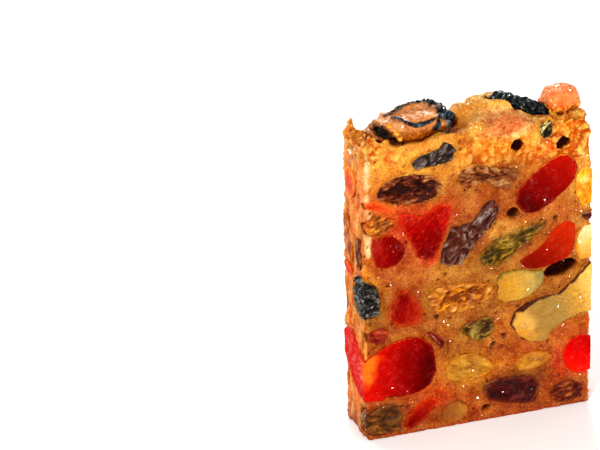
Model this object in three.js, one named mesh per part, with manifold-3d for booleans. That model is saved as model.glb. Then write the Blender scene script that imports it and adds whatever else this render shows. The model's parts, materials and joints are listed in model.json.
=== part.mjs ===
// One slice of a rich fruit cake loaf, standing on its base, in millimetres.
// X runs across the slice, Y through its thickness (the front cut face looks to -Y), Z is up from the base.
// The cake is one solid with a pocket for each fruit and nut. Each fruit and nut is a solid of its own,
// cut flush where the knife went through it.
import * as THREE from "three";
import { mergeVertices } from "three/addons/utils/BufferGeometryUtils.js";
import Module from "manifold-3d";

const wasm = await Module();
wasm.setup();

// ---- driving dimensions ----
const sliceWidth = 60;
const sliceThickness = 15;
const crustHeight = 77.4; // the plain level of the top crust, before its lumps and hollows
const pocketGap = 0.3; // clear space between a fruit and the cake round it
const cutRoughness = 0.35; // how far the torn crumb falls behind the plane of the knife
const halfWidth = sliceWidth / 2;
const halfThickness = sliceThickness / 2;
const coarse = { sides: 10, rings: 4 };
const fine = { sides: 14, rings: 4 };
const fineFrom = 10; // a fruit longer than this gets the finer mesh
const outlineStep = 2.7; // between the corners of a drawn outline
const mostCorners = 18;
const waist = 1.09; // how much wider a fruit that runs through the slice is at its middle than at the cuts
const halfRun = 11; // half the length of such a fruit

// ---- solids ----

// A closed geometry as a manifold-3d solid.
function toSolid(geometry) {
  const bare = geometry.clone();
  bare.deleteAttribute("normal");
  bare.deleteAttribute("uv");
  const merged = mergeVertices(bare, 1e-4);
  const shell = new wasm.Mesh({
    numProp: 3,
    vertProperties: merged.attributes.position.array,
    triVerts: new Uint32Array(merged.index.array),
  });
  return new wasm.Manifold(shell);
}

// The largest body of a solid: loose scraps that a cut leaves are dropped.
function largestBody(solid) {
  const bodies = solid.decompose();
  return bodies.reduce((best, body) => (body.volume() > best.volume() ? body : best));
}

// A solid as a geometry again.
function toGeometry(solid) {
  const shell = solid.getMesh();
  const geometry = new THREE.BufferGeometry();
  geometry.setAttribute("position", new THREE.BufferAttribute(shell.vertProperties, shell.numProp));
  geometry.setIndex(new THREE.BufferAttribute(shell.triVerts, 1));
  return geometry;
}

function boxSolid(low, high) {
  const size = new THREE.Vector3().subVectors(high, low);
  const box = new THREE.BoxGeometry(size.x, size.y, size.z);
  box.translate((low.x + high.x) / 2, (low.y + high.y) / 2, (low.z + high.z) / 2);
  return toSolid(box);
}

// ---- one lump of fruit, nut or cake ----

// Along its own axes a lump is a rounded block: `square` 2 is an ellipsoid, 4 nearly a brick.
// `wrinkle` is the depth of its folds and `folds` how many run round it.
function lumpGeometry(half, look, grow) {
  const sphere = new THREE.SphereGeometry(1, look.mesh.sides, look.mesh.rings);
  sphere.rotateX(Math.PI / 2);
  sphere.deleteAttribute("normal");
  sphere.deleteAttribute("uv");
  const geometry = mergeVertices(sphere, 1e-4);
  const points = geometry.attributes.position;
  const n = new THREE.Vector3();
  for (let i = 0; i < points.count; i += 1) {
    n.fromBufferAttribute(points, i).normalize();
    const power = look.square;
    const norm = Math.abs(n.x) ** power + Math.abs(n.y) ** power + Math.abs(n.z) ** power;
    const round = Math.atan2(n.z, n.y);
    const fold = Math.cos(look.folds * round + 2.4 * Math.sin(2.6 * n.x + look.seed));
    const swell = Math.sin(3.1 * n.x + 2.2 * n.y - 1.7 * n.z + 1.9 * look.seed);
    const reach = norm ** (-1 / power) * (1 + look.wrinkle * (0.6 * fold + 0.4 * swell));
    const [length, height, depth] = half.map((size) => reach * (size + grow));
    points.setXYZ(i, n.x * length, n.y * height, n.z * depth);
  }
  return geometry;
}

const faceAxes = {
  front: { along: [1, 0, 0], up: [0, 0, 1], out: [0, -1, 0] },
  back: { along: [1, 0, 0], up: [0, 0, 1], out: [0, 1, 0] },
  left: { along: [0, 1, 0], up: [0, 0, 1], out: [-1, 0, 0] },
  right: { along: [0, 1, 0], up: [0, 0, 1], out: [1, 0, 0] },
  top: { along: [1, 0, 0], up: [0, 1, 0], out: [0, 0, 1] },
};

// Stands a lump at `at`, its length turned by `turn` degrees in the plane of the face it shows on.
function lumpSolid(lump, look, grow) {
  const axes = faceAxes[lump.face];
  const along = new THREE.Vector3(...axes.along);
  const up = new THREE.Vector3(...axes.up);
  const turn = THREE.MathUtils.degToRad(lump.turn ?? 0);
  const length = along.clone().multiplyScalar(Math.cos(turn)).addScaledVector(up, Math.sin(turn));
  const height = up.multiplyScalar(Math.cos(turn)).addScaledVector(along, -Math.sin(turn));
  const dip = Math.tan(THREE.MathUtils.degToRad(lump.dip ?? 0));
  length.addScaledVector(new THREE.Vector3(...axes.out), -dip);
  length.normalize();
  const depth = new THREE.Vector3().crossVectors(length, height).normalize();
  const half = [lump.size[0] / 2, lump.size[1] / 2, lump.deep];
  const geometry = lumpGeometry(half, { ...look, ...lump.look }, grow);
  const place = new THREE.Matrix4().makeBasis(length, height, depth);
  place.setPosition(...lump.at);
  geometry.applyMatrix4(place);
  return toSolid(geometry);
}

// ---- one fruit with a drawn outline ----

// The knife's cut through a fruit is a smooth closed curve through a few corners [x, z] on the front face.
// The body runs back from it to `deep` and rounds off by `round` at its hidden end.
function outlinedSolid({ corners, deep, round }, grow) {
  const rim = new THREE.CatmullRomCurve3(corners.map(([x, z]) => new THREE.Vector3(x, z, 0)), true);
  const count = Math.min(mostCorners, Math.round(rim.getLength() / outlineStep));
  const corner = ({ x, y }) => new THREE.Vector2(x, y);
  const shape = new THREE.Shape(rim.getSpacedPoints(count).slice(1).map(corner));
  const hiddenEnd = deep / 2;
  const geometry = new THREE.ExtrudeGeometry(shape, {
    depth: deep,
    bevelThickness: hiddenEnd,
    bevelSize: round,
    bevelOffset: grow - round,
    bevelSegments: 1,
  });
  geometry.rotateX(Math.PI / 2);
  geometry.translate(0, hiddenEnd + grow - halfThickness, 0);
  return toSolid(geometry);
}

// ---- where lumps sit ----

const onFront = (x, z, size, turn = 0, deep = 5.5) => ({
  face: "front", at: [x, -halfThickness, z], size, turn, deep,
});
const onBack = (x, z, size, turn = 0, deep = 5.5) => ({
  face: "back", at: [x, halfThickness, z], size, turn, deep,
});
const onLeft = (y, z, size, turn = 0, deep = 4) => ({
  face: "left", at: [-halfWidth, y, z], size, turn, deep,
});
const onRight = (y, z, size, turn = 0, deep = 4) => ({
  face: "right", at: [halfWidth, y, z], size, turn, deep,
});
const onTop = (x, y, z, size, deep, turn = 0, dip = 0) => ({
  face: "top", at: [x, y, z], size, turn, dip, deep,
});
// A fruit that reaches through the slice and shows on both cut faces.
const through = (x, z, size, turn = 0) => ({
  face: "front", at: [x, 0, z], size: size.map((s) => s * waist), turn, deep: halfRun, look: { square: 3.4 },
});
const drawn = (deep, round, ...corners) => ({ deep, round, corners });

// ---- the kinds of fruit and nut ----

function kind(look) {
  return (name, ...lumps) => ({ name, lumps, look });
}

const cherry = kind({ square: 2.7, wrinkle: 0.025, folds: 3, colour: 0xb3120b, roughness: 0.25 });
const orangeCherry = kind({ square: 3.4, wrinkle: 0.02, folds: 3, colour: 0xd23a10, roughness: 0.3 });
const raisin = kind({ square: 2.2, wrinkle: 0.13, folds: 5, colour: 0x3a211b, roughness: 0.45 });
const sultana = kind({ square: 2.2, wrinkle: 0.08, folds: 4, colour: 0xb0701a, roughness: 0.4 });
const peel = kind({ square: 3.6, wrinkle: 0.04, folds: 3, colour: 0x8a4216, roughness: 0.4 });
const citron = kind({ square: 3.2, wrinkle: 0.05, folds: 4, colour: 0x8a7a1c, roughness: 0.35 });
const nut = kind({ square: 2.5, wrinkle: 0.06, folds: 3, colour: 0xd9b268, roughness: 0.5 });
const prune = kind({ square: 2.4, wrinkle: 0.1, folds: 5, colour: 0x2a2a2c, roughness: 0.3 });
const apricot = kind({ square: 2.3, wrinkle: 0.05, folds: 4, colour: 0xe2743a, roughness: 0.25 });

// Every separate fruit and nut, from the top of each face down.
const fruits = [
  // on the crust
  prune("prune_swirl", { ...onTop(-15.2, 0.8, 78.9, [21.6, 12.4], 3.8, 3, -5), look: { square: 3 } }),
  prune("prune_strip", onTop(13.4, 0.7, 79.5, [17, 5.4], 2.3, -9, 20)),
  apricot("apricot_lump", onTop(24.7, 1.8, 78.6, [10.8, 9.2], 4.4, 10)),
  raisin("raisin_crust", { face: "front", at: [17.6, -6.4, 75.6], size: [5, 6.2], turn: 0, deep: 2.4 }),
  // on the front cut face
  raisin("raisin_ridge", drawn(6, 0.9,
    [-17.8, 72], [-14.6, 74.2], [-10.4, 75.2], [-8.5, 77.2], [-5.2, 74], [-6.8, 70.8], [-11, 70.4],
    [-15.8, 70.1])),
  raisin("raisin_wide", drawn(5.5, 1.2,
    [-26.8, 64.8], [-24.4, 68.4], [-18, 69.8], [-12.1, 68.5], [-9, 65.4], [-11, 61.9], [-17, 61.1],
    [-23, 62.3])),
  raisin("raisin_flat", drawn(5, 0.7,
    [-5.6, 66.6], [-4.4, 68.8], [0, 69.4], [5, 67.9], [11.2, 66.6], [9.8, 63], [5.4, 61],
    [4.4, 62.8], [0.4, 63.6], [-3.6, 62.8])),
  cherry("cherry_long", through(17.9, 61.3, [19, 10.2], 38)),
  cherry("cherry_wedge", drawn(5.5, 1,
    [-20.3, 60], [-14.6, 58.3], [-9.4, 60.8], [-6.8, 60], [-7.8, 55], [-10, 49], [-12, 45.9],
    [-16, 47.2], [-17.8, 52], [-20.4, 56.6])),
  cherry("cherry_sliver", drawn(3.5, 0.5,
    [-29.4, 63.8], [-24.6, 63.3], [-20.9, 61.2], [-21.7, 59.3], [-25.6, 61.2], [-29.2, 62])),
  raisin("raisin_long", drawn(5.5, 1,
    [-9.6, 53.6], [-4, 54.4], [-0.4, 55.4], [0.8, 58.8], [3.6, 60.2], [5.8, 57.6], [4.4, 52.8],
    [0.4, 49.4], [-2.6, 45.4], [-5, 43.3], [-10, 44.2], [-10.2, 48.6])),
  sultana("sultana_left", drawn(4, 0.8,
    [-29.4, 57], [-27.4, 60.6], [-23.8, 60], [-21, 57.2], [-23.4, 55], [-28, 54.4])),
  cherry("cherry_small", drawn(4.5, 0.9,
    [-27.4, 54.2], [-22.4, 54.4], [-18.8, 50.4], [-19.4, 47.6], [-23, 45.7], [-26.4, 46.2])),
  citron("citron_green", drawn(4.5, 0.9,
    [-0.4, 43.6], [3, 48.4], [9.8, 50.4], [19, 52.2], [15.4, 48], [10.2, 44.2], [4, 41.2])),
  orangeCherry("cherry_orange", drawn(5, 1,
    [10.6, 41.8], [16.6, 45], [20.2, 49.4], [24.7, 50.6], [25.4, 46], [24.8, 42], [19.4, 39.5],
    [13.2, 39.4])),
  raisin("raisin_corner", { face: "left", at: [-29.2, -5, 38.1], size: [12.4, 12], turn: -12, deep: 4.4 }),
  cherry("cherry_faint", drawn(4.5, 0.9,
    [-22.4, 37.4], [-19.8, 40], [-17.2, 38], [-14.2, 33], [-15, 29.8], [-21.8, 29.8], [-23.6, 33])),
  sultana("sultana_mid", drawn(5, 1,
    [-14.3, 35.8], [-12, 38.4], [-3, 39], [4.8, 36.4], [3.2, 33.2], [-3, 30.9], [-11.6, 31.2])),
  nut("walnut_small", drawn(5, 1,
    [4.6, 35], [5.4, 39], [11, 39.8], [16.6, 39.2], [17, 34.6], [12, 31.8], [5.4, 31.6])),
  nut("walnut_large", drawn(6, 1.2,
    [8.2, 25.2], [9.4, 28.6], [15, 31], [21.2, 31.8], [26.2, 35.4], [31.4, 39.4], [32, 26],
    [25.4, 24.4], [20.3, 22], [17.6, 18.7], [12.2, 20])),
  nut("nut_edge", drawn(6, 1, [26.5, 39.6], [26.3, 47.6], [30, 49.2], [33, 45], [32, 40.4])),
  sultana("sultana_edge", onFront(28.4, 59, [6.4, 10.8], 8, 6)),
  raisin("raisin_edge", drawn(4, 0.5, [26.4, 51.2], [29, 53.2], [32, 52], [31, 49.9], [27.4, 49.9])),
  cherry("cherry_edge", drawn(6, 1.1,
    [22.5, 13.6], [24.2, 18], [29, 18.8], [33, 14], [29, 8.4], [24, 9.8])),
  cherry(
    "cherry_big",
    through(-19.4, 18.4, [17.2, 16.6], 10),
    onFront(-26.4, 17, [8, 13], 0, 6),
    { face: "left", at: [-29, -0.6, 18.4], size: [21, 11.4], turn: 36, deep: 6.4 },
  ),
  peel("peel_left", drawn(3.5, 0.6, [-28.6, 29.8], [-23.8, 30.2], [-23.6, 27.2], [-28.4, 26])),
  peel("peel_shoulder", drawn(3.5, 0.5,
    [-14.8, 27.4], [-11.4, 26.6], [-8.6, 22.8], [-9.6, 21.4], [-12.4, 25])),
  raisin("raisin_olive", drawn(4.5, 0.8,
    [-5.6, 26.2], [-1.6, 28.2], [4.4, 28.2], [4.2, 24], [1.6, 21.4], [-3.2, 23.4])),
  sultana("sultana_gold", drawn(5, 1,
    [-8.8, 16], [-5.2, 19.3], [0, 18.6], [4.2, 14], [-1.6, 11.6], [-7.6, 12.2])),
  sultana("sultana_pale", drawn(4.5, 0.8, [9, 14.2], [14.2, 16.9], [20.2, 14.8], [15.4, 11.8], [10.6, 12])),
  peel("peel_maroon", drawn(5, 0.9,
    [1.6, 10.2], [8.4, 11], [15.8, 8.8], [15.2, 2.6], [9.4, 3.2], [1.8, 5.8])),
  raisin("raisin_base", drawn(4.5, 0.8, [18.6, 4.4], [21.4, 7.2], [27.8, 5.6], [27.6, 2.2], [21.4, 1])),
  peel("peel_base", drawn(5, 0.9, [-29.4, 8], [-21, 9], [-20.6, 2], [-29.2, 1.4])),
  cherry("cherry_base", drawn(4, 0.7, [-20.4, 2.4], [-15.6, 8.2], [-10.6, 9], [-13, 4.6], [-18.4, 1])),
  nut("nut_base", drawn(4.5, 0.8, [-9.8, 5], [-6, 7.2], [-2.8, 5], [-4, 1.2], [-9, 1.2])),
  // on the left side
  cherry("cherry_left_high", onLeft(1.5, 66.4, [7.6, 7.4], 20, 3)),
  peel("peel_side", onLeft(3.9, 50.6, [12.4, 5.4], 76, 3)),
  raisin("raisin_side", onLeft(-3.4, 49.2, [8.6, 4.2], 80, 2.8)),
  cherry("cherry_side_sliver", onLeft(3.8, 42.6, [5.8, 2.8], 12, 2.6)),
  // on the right side
  cherry("cherry_right", onRight(2.6, 67.4, [7.4, 8], 0, 3.6)),
  sultana("sultana_right", onRight(3, 49, [11, 5], 72, 3)),
  raisin("raisin_right", onRight(2.6, 20.6, [7.6, 6], 20, 3.4)),
  // on the back cut face
  raisin("raisin_back_high", onBack(3, 70, [14, 5.6], 8, 4.4)),
  cherry("cherry_back_high", onBack(-16, 59.6, [16.6, 9.4], -24, 5)),
  sultana("sultana_back_high", onBack(-21, 69.6, [11, 5.4], 12, 4.2)),
  nut("walnut_back", onBack(2, 57.6, [11, 8.4], -15, 5), onBack(7.4, 54.6, [9, 8], 30, 5)),
  sultana("sultana_back_mid", onBack(-8, 48, [14, 5.6], 18, 4)),
  raisin("raisin_back_mid", onBack(-20.6, 44.6, [12, 6.8], -30, 4.5)),
  cherry("cherry_back_mid", onBack(2.4, 38.6, [11.6, 9.8], 15, 4.6)),
  citron("citron_back", onBack(17.6, 42, [15, 5.6], -32, 4.2)),
  nut("nut_back", onBack(-11, 34.4, [10, 6.8], 8, 4.4)),
  raisin("raisin_back_low", onBack(3.6, 22.4, [13, 6], 12, 4.2)),
  sultana("sultana_back_low", onBack(-5.4, 9, [13, 6], -10, 4.2)),
  cherry("cherry_back_low", onBack(15.6, 9.4, [12.6, 9.8], 20, 4.6)),
];

// ---- the cake ----

const bump = (u, middle, width) => Math.exp(-(((u - middle) / width) ** 2));

// Lumps and hollows of the crust: [middle x, middle y, width x, width y, rise].
const crustForms = [
  [-27, -5.2, 3.4, 3.4, 1.4], // front left crag
  [-29, 3.4, 2.2, 2.8, 3], // back left spike
  [-22.6, -2.4, 2.8, 2.4, -3.4], // open gap beside the swirled prune
  [-14.6, 1.4, 9, 5, -2.6], // bed of the swirled prune
  [-8, -7, 4.4, 2.6, 1.2], // lip in front of the prune
  [-5.6, 2.8, 2.2, 6, -2.2], // amber valley
  [7.4, 2, 8.6, 8, 4.6], // golden dome
  [18.8, -6.6, 2.2, 2.6, -1.8], // dip where the crust is torn
];

function crustLevel(x, y) {
  const form = crustForms.reduce(
    (sum, [cx, cy, wx, wy, rise]) => sum + rise * bump(x, cx, wx) * bump(y, cy, wy),
    0,
  );
  const crumble = 0.35 * Math.sin(1.15 * x + 0.9 * y) + 0.3 * Math.sin(0.7 * x - 1.6 * y + 1.3);
  const rolledEdge = -3.2 * bump(x, halfWidth + 0.8, 1.6);
  return crustHeight + form + crumble + rolledEdge;
}

// How far the torn crumb lies behind the knife's plane, from 0 to cutRoughness.
function tear(u, v) {
  const waves = 0.3 * Math.sin(0.8 * u + 0.5 * v) + 0.2 * Math.sin(1.3 * v - 0.6 * u);
  return cutRoughness * (0.5 + waves);
}

function cakeBlock() {
  const acrossSteps = 22;
  const throughSteps = 7;
  const upSteps = 7;
  const block = new THREE.BoxGeometry(1, 1, 1, acrossSteps, throughSteps, upSteps);
  block.deleteAttribute("normal");
  block.deleteAttribute("uv");
  const geometry = mergeVertices(block, 1e-5);
  const points = geometry.attributes.position;
  for (let i = 0; i < points.count; i += 1) {
    const [u, v, w] = [points.getX(i) * 2, points.getY(i) * 2, points.getZ(i) + 0.5];
    const x = u * halfWidth;
    const y = v * halfThickness;
    const z = w * crustLevel(x, y);
    const inY = Math.abs(v) > 0.999 ? Math.sign(v) * tear(x, z) : 0;
    const inX = Math.abs(u) > 0.999 ? Math.sign(u) * tear(y * 2, z) : 0;
    points.setXYZ(i, x - inX, y - inY, z);
  }
  return toSolid(geometry);
}

// Crags of crust that stand off the plain relief: [x, y, z, length, width, half height].
const crags = [
  [-28.6, 3.6, 79, 3, 4.2, 2.9],
  [-27, -5.4, 77.8, 5, 4.2, 2.4],
  [-23.4, -6.2, 76.8, 3.6, 3, 2.4],
  [-26.4, 0.4, 77.4, 5.6, 4.6, 2.2],
  [-9, -6.6, 77, 12, 2.6, 1.9],
  [-1.6, 2.6, 78.9, 5, 8.4, 2.8],
  [6.6, 2, 80.4, 14, 9, 2.7],
  [0.6, -5.6, 78, 7, 3.4, 1.8],
  [10.6, -5.6, 77.6, 9, 3.4, 1.8],
  [22.4, -5.6, 76.6, 6, 3.6, 2],
  [27, -3.4, 76.6, 5.6, 6.4, 2.2],
  [19, 3.6, 76.8, 5, 6, 2.4],
];

// Air holes in the crumb: [x, z, length, height, turn, depth], on the front cut face.
const airHoles = [
  [10.1, 72.4, 3.2, 2.6, 30, 3.2],
  [21.9, 71.4, 4.2, 2.6, 6, 3],
  [9.1, 54.9, 3.5, 3.4, 0, 2.4],
  [2.1, 3.2, 2.8, 1.8, 10, 1.8],
  [21.8, 38.1, 10.2, 4.2, 12, 4.6],
];

const crumbLook = { square: 2.1, wrinkle: 0.12, folds: 3, mesh: { sides: 8, rings: 4 } };

function cakeSolid(pockets) {
  const crust = crags.map(([x, y, z, length, width, rise], i) =>
    lumpSolid(onTop(x, y, z, [length, width], rise, 25 * i), { ...crumbLook, seed: i }, 0),
  );
  const holes = airHoles.map(([x, z, length, height, turn, depth], i) =>
    lumpSolid(onFront(x, z, [length, height], turn, depth), { ...crumbLook, seed: i }, 0),
  );
  const lowest = new THREE.Vector3(-halfWidth, -halfThickness, 0);
  const highest = new THREE.Vector3(halfWidth, halfThickness, 2 * crustHeight);
  const whole = wasm.Manifold.union([cakeBlock(), ...crust]).intersect(boxSolid(lowest, highest));
  return largestBody(wasm.Manifold.difference([whole, ...holes, ...pockets]));
}

// ---- putting the slice together ----

const baseSkin = 0.7; // fruits stop this far above the base
const knifeLow = new THREE.Vector3(-halfWidth, -halfThickness, baseSkin);
const knifeHigh = new THREE.Vector3(halfWidth, halfThickness, 2 * crustHeight);
const knifeCut = boxSolid(knifeLow, knifeHigh);

// A fruit's solid, or with `grow` the pocket that it lies in.
function fruitSolid(fruit, index, grow) {
  const bodies = fruit.lumps.map((lump, i) => {
    if (lump.corners) return outlinedSolid(lump, grow);
    const mesh = Math.max(...lump.size) > fineFrom ? fine : coarse;
    return lumpSolid(lump, { ...fruit.look, mesh, seed: 1.7 * index + i }, grow);
  });
  return wasm.Manifold.union(bodies);
}

const fruitsWithSolids = [];
const pockets = [];
fruits.forEach((fruit, index) => {
  const whole = fruitSolid(fruit, index, 0);
  const cut = wasm.Manifold.difference([whole, ...pockets]).intersect(knifeCut);
  fruitsWithSolids.push({ fruit, solid: largestBody(cut) });
  pockets.push(fruitSolid(fruit, index, pocketGap));
});

function namedMesh(name, solid, colour, roughness) {
  const material = new THREE.MeshStandardMaterial({ color: colour, roughness, metalness: 0 });
  const mesh = new THREE.Mesh(toGeometry(solid), material);
  mesh.name = name;
  return mesh;
}

const slice = new THREE.Group();
slice.add(namedMesh("cake", cakeSolid(pockets), 0xd08a35, 0.55));
for (const { fruit, solid } of fruitsWithSolids) {
  slice.add(namedMesh(fruit.name, solid, fruit.look.colour, fruit.look.roughness));
}

export default slice;
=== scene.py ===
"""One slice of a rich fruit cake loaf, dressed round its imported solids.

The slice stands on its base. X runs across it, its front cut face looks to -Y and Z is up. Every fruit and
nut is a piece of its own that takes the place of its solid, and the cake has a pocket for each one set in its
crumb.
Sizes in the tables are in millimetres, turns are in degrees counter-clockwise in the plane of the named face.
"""
import json
import math
from collections import namedtuple

import bpy
import numpy as np
from bpy.props import FloatProperty, FloatVectorProperty, IntProperty, PointerProperty
from mathutils import Matrix, Vector, kdtree, noise

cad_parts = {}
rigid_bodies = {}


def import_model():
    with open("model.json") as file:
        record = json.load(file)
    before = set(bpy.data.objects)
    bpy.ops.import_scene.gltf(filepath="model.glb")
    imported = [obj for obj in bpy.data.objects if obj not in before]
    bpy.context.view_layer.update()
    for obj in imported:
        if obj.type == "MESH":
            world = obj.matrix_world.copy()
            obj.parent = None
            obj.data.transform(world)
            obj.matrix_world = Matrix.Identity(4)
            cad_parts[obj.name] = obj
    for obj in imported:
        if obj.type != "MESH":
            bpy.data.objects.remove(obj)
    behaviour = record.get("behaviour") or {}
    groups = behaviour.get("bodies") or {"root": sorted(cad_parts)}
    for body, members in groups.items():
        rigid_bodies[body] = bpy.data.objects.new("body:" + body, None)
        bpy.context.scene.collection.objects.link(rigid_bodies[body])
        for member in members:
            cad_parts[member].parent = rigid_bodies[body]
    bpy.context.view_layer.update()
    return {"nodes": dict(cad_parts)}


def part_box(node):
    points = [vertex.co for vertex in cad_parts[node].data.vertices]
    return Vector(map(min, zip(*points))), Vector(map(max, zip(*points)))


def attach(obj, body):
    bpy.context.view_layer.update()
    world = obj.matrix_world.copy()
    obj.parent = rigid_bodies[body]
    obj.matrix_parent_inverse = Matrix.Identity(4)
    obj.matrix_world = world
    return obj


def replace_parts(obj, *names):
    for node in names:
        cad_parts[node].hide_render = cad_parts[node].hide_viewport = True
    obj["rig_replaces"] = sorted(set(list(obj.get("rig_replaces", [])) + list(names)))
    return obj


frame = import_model()

bl_info = {
    "name": "Fruit cake slice",
    "version": (1, 0, 0),
    "blender": (4, 5, 0),
    "location": "View3D > Sidebar > Fruit cake",
    "description": "Dresses a slice of fruit cake: crumb, crust, fruits, nuts and a studio",
    "category": "Object",
}

MM = 0.001

SLICE_LOW, SLICE_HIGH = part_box("cake")
HALF_WIDTH = round(SLICE_HIGH.x / MM)
HALF_THICKNESS = round(SLICE_HIGH.y / MM, 1)

# ---- colours and coordinates ----


def linear(shade, alpha=True):
    """An sRGB hex colour as the linear values that Blender's sockets hold."""
    parts = [int(shade[i : i + 2], 16) / 255 for i in (0, 2, 4)]
    values = [c / 12.92 if c <= 0.04045 else ((c + 0.055) / 1.055) ** 2.4 for c in parts]
    return (*values, 1.0) if alpha else np.array(values)


AXIS = {"x": Vector((1, 0, 0)), "y": Vector((0, 1, 0)), "z": Vector((0, 0, 1))}
# the way lengths and heights run on each face of the slice
FACE_AXES = {"front": "xz", "back": "xz", "left": "yz", "right": "yz"}


def grain_axes(face, turn):
    """The axes of a piece's own grain as a rotation: along it, across it in its face, and out of the face."""
    length, height = (AXIS[name] for name in FACE_AXES[face])
    angle = math.radians(turn)
    along = length * math.cos(angle) + height * math.sin(angle)
    across = height * math.cos(angle) - length * math.sin(angle)
    return Matrix((along, across, along.cross(across))).transposed()


def centre_and_half(node, axes):
    """A node's middle in metres and its half sizes in mm along its own grain."""
    points = np.array([v.co for v in frame["nodes"][node].data.vertices]) @ np.array(axes)
    low, high = points.min(0), points.max(0)
    return axes @ Vector((low + high) / 2), (high - low) / 2 / MM


def coordinates(piece):
    values = np.empty(len(piece.data.vertices) * 3, np.float32)
    piece.data.vertices.foreach_get("co", values)
    return values.reshape(-1, 3).astype(float)


def set_coordinates(piece, points):
    piece.data.vertices.foreach_set("co", points.astype(np.float32).ravel())
    piece.data.update()


def normals(piece):
    values = np.empty(len(piece.data.vertices) * 3, np.float32)
    piece.data.vertices.foreach_get("normal", values)
    return values.reshape(-1, 3).astype(float)


def store(piece, name, values):
    """Keeps a number or a colour for each point of the piece as an attribute that its material reads."""
    if values.ndim == 1:
        attribute = piece.data.attributes.new(name, "FLOAT", "POINT")
        attribute.data.foreach_set("value", values.astype(np.float32))
    else:
        attribute = piece.data.attributes.new(name, "FLOAT_COLOR", "POINT")
        padded = np.column_stack([values, np.ones(len(values))])
        attribute.data.foreach_set("color", padded.astype(np.float32).ravel())


def smoothstep(low, high, values):
    share = np.clip((values - low) / (high - low), 0, 1)
    return share * share * (3 - 2 * share)


def drift(points, size, seed):
    """Smooth noise between -1 and 1 at each point, with features of `size` mm."""
    shift = Vector((7.1, 3.3, 5.7)) * seed
    return np.array([noise.noise(Vector(point) + shift) for point in points / (size * MM)])


def depth_behind_faces(points):
    """How far in mm each point lies behind the nearest cut face or side of the slice."""
    return np.minimum(HALF_WIDTH - np.abs(points[:, 0]) / MM, HALF_THICKNESS - np.abs(points[:, 1]) / MM)


def cloud_tree(points):
    tree = kdtree.KDTree(len(points))
    for index, point in enumerate(points):
        tree.insert(point, index)
    tree.balance()
    return tree


def stroke(points, path, width, seed, softness=0.25):
    """How fully each point is covered by a brush line `width` mm to each side of the path."""
    places = points / MM
    nearest = np.full(len(places), np.inf)
    for start, end in zip(np.array(path[:-1], float), np.array(path[1:], float)):
        along = end - start
        share = np.clip((places - start) @ along / (along @ along), 0, 1)
        nearest = np.minimum(nearest, np.linalg.norm(places - start - share[:, None] * along, axis=1))
    return smoothstep(1 + softness, 1 - softness, nearest / width + 0.6 * drift(points, 1.6, seed))


# ---- modelling ----


def activate(piece):
    bpy.ops.object.select_all(action="DESELECT")
    piece.select_set(True)
    bpy.context.view_layer.objects.active = piece


def apply_modifier(piece, kind, **settings):
    activate(piece)
    modifier = piece.modifiers.new(kind.title(), kind)
    for key, value in settings.items():
        setattr(modifier, key, value)
    bpy.ops.object.modifier_apply(modifier=modifier.name)


def copy_of_node(node, name):
    """A new object with the node's mesh, its loose triangles merged into one closed surface."""
    mesh = frame["nodes"][node].data.copy()
    mesh.materials.clear()
    piece = bpy.data.objects.new(name, mesh)
    bpy.context.scene.collection.objects.link(piece)
    activate(piece)
    bpy.ops.object.mode_set(mode="EDIT")
    bpy.ops.mesh.select_all(action="SELECT")
    bpy.ops.mesh.remove_doubles(threshold=0.002 * MM)
    bpy.ops.object.mode_set(mode="OBJECT")
    return piece


def keep_inside(points, skin=0.0):
    """Flattens points that have left the slice's faces and base, which lie `skin` mm further in."""
    reach_x, reach_y = (HALF_WIDTH - skin) * MM, (HALF_THICKNESS - skin) * MM
    points[:, 0] = np.clip(points[:, 0], -reach_x, reach_x)
    points[:, 1] = np.clip(points[:, 1], -reach_y, reach_y)
    points[:, 2] = np.maximum(points[:, 2], max(skin, 0) * MM)
    return points


def fruit_body(node, smoothing, settings):
    """The plain body of a fruit: its solid with a fine even mesh and rounded rims."""
    piece = copy_of_node(node, f"{node}_piece")
    apply_modifier(piece, "REMESH", mode="VOXEL", voxel_size=settings.mesh_size)
    apply_modifier(piece, "SMOOTH", factor=0.5, iterations=smoothing)
    return piece


def push_in(piece, depth, skin=-0.08):
    """Sinks each point along its normal by its own depth in mm, and keeps the fruit within the slice."""
    points = coordinates(piece) - normals(piece) * (depth * MM)[:, None]
    set_coordinates(piece, keep_inside(points, skin))


WALL_START = 0.9  # mm behind the slice's faces, where the wall of a fruit's pocket is taken to start
WALL_END = 1.7


def rim_distance(points):
    """How far in mm each point on the slice's faces lies inside its piece's outline there."""
    depth = depth_behind_faces(points)
    tree = cloud_tree(points[(depth > WALL_START) & (depth < WALL_END)])
    rim = np.zeros(len(points))
    for index in np.flatnonzero(depth <= WALL_START):
        rim[index] = tree.find(points[index])[2] / MM
    return np.sqrt(np.maximum(rim**2 - WALL_START**2, 0))


def finish_piece(piece, node, slot, material):
    piece.data.materials.clear()
    piece.data.materials.append(material)
    activate(piece)
    bpy.ops.object.shade_smooth()
    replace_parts(piece, node)
    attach(piece, "root")
    return piece


# ---- materials ----

FRAY_SIZE = 0.9  # mm between the teeth of a frayed outline
GLINT_SIZE = 0.55  # mm across a drop of syrup, which catches the light as one flat facet
GLINT_TILT = 0.8  # how far such facets lean from the surface, as a share of its normal
DROP_SIZE = 0.8  # mm across a spot where syrup stands
DROP_COVER = 0.4  # how much of the coat's shine a drop has


def new_material(name):
    material = bpy.data.materials.new(name)
    material.use_nodes = True
    return material, material.node_tree, material.node_tree.nodes["Principled BSDF"]


def feed(tree, node, sockets):
    """Gives a node's inputs a value or a link each, by name or, where there are no names, in their order."""
    in_use = [socket for socket in node.inputs if socket.enabled]
    named = sockets if isinstance(sockets, dict) else dict(enumerate(sockets))
    for key, value in named.items():
        socket = in_use[key] if isinstance(key, int) else node.inputs[key]
        if isinstance(value, bpy.types.NodeSocket):
            tree.links.new(value, socket)
        else:
            socket.default_value = value


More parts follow.
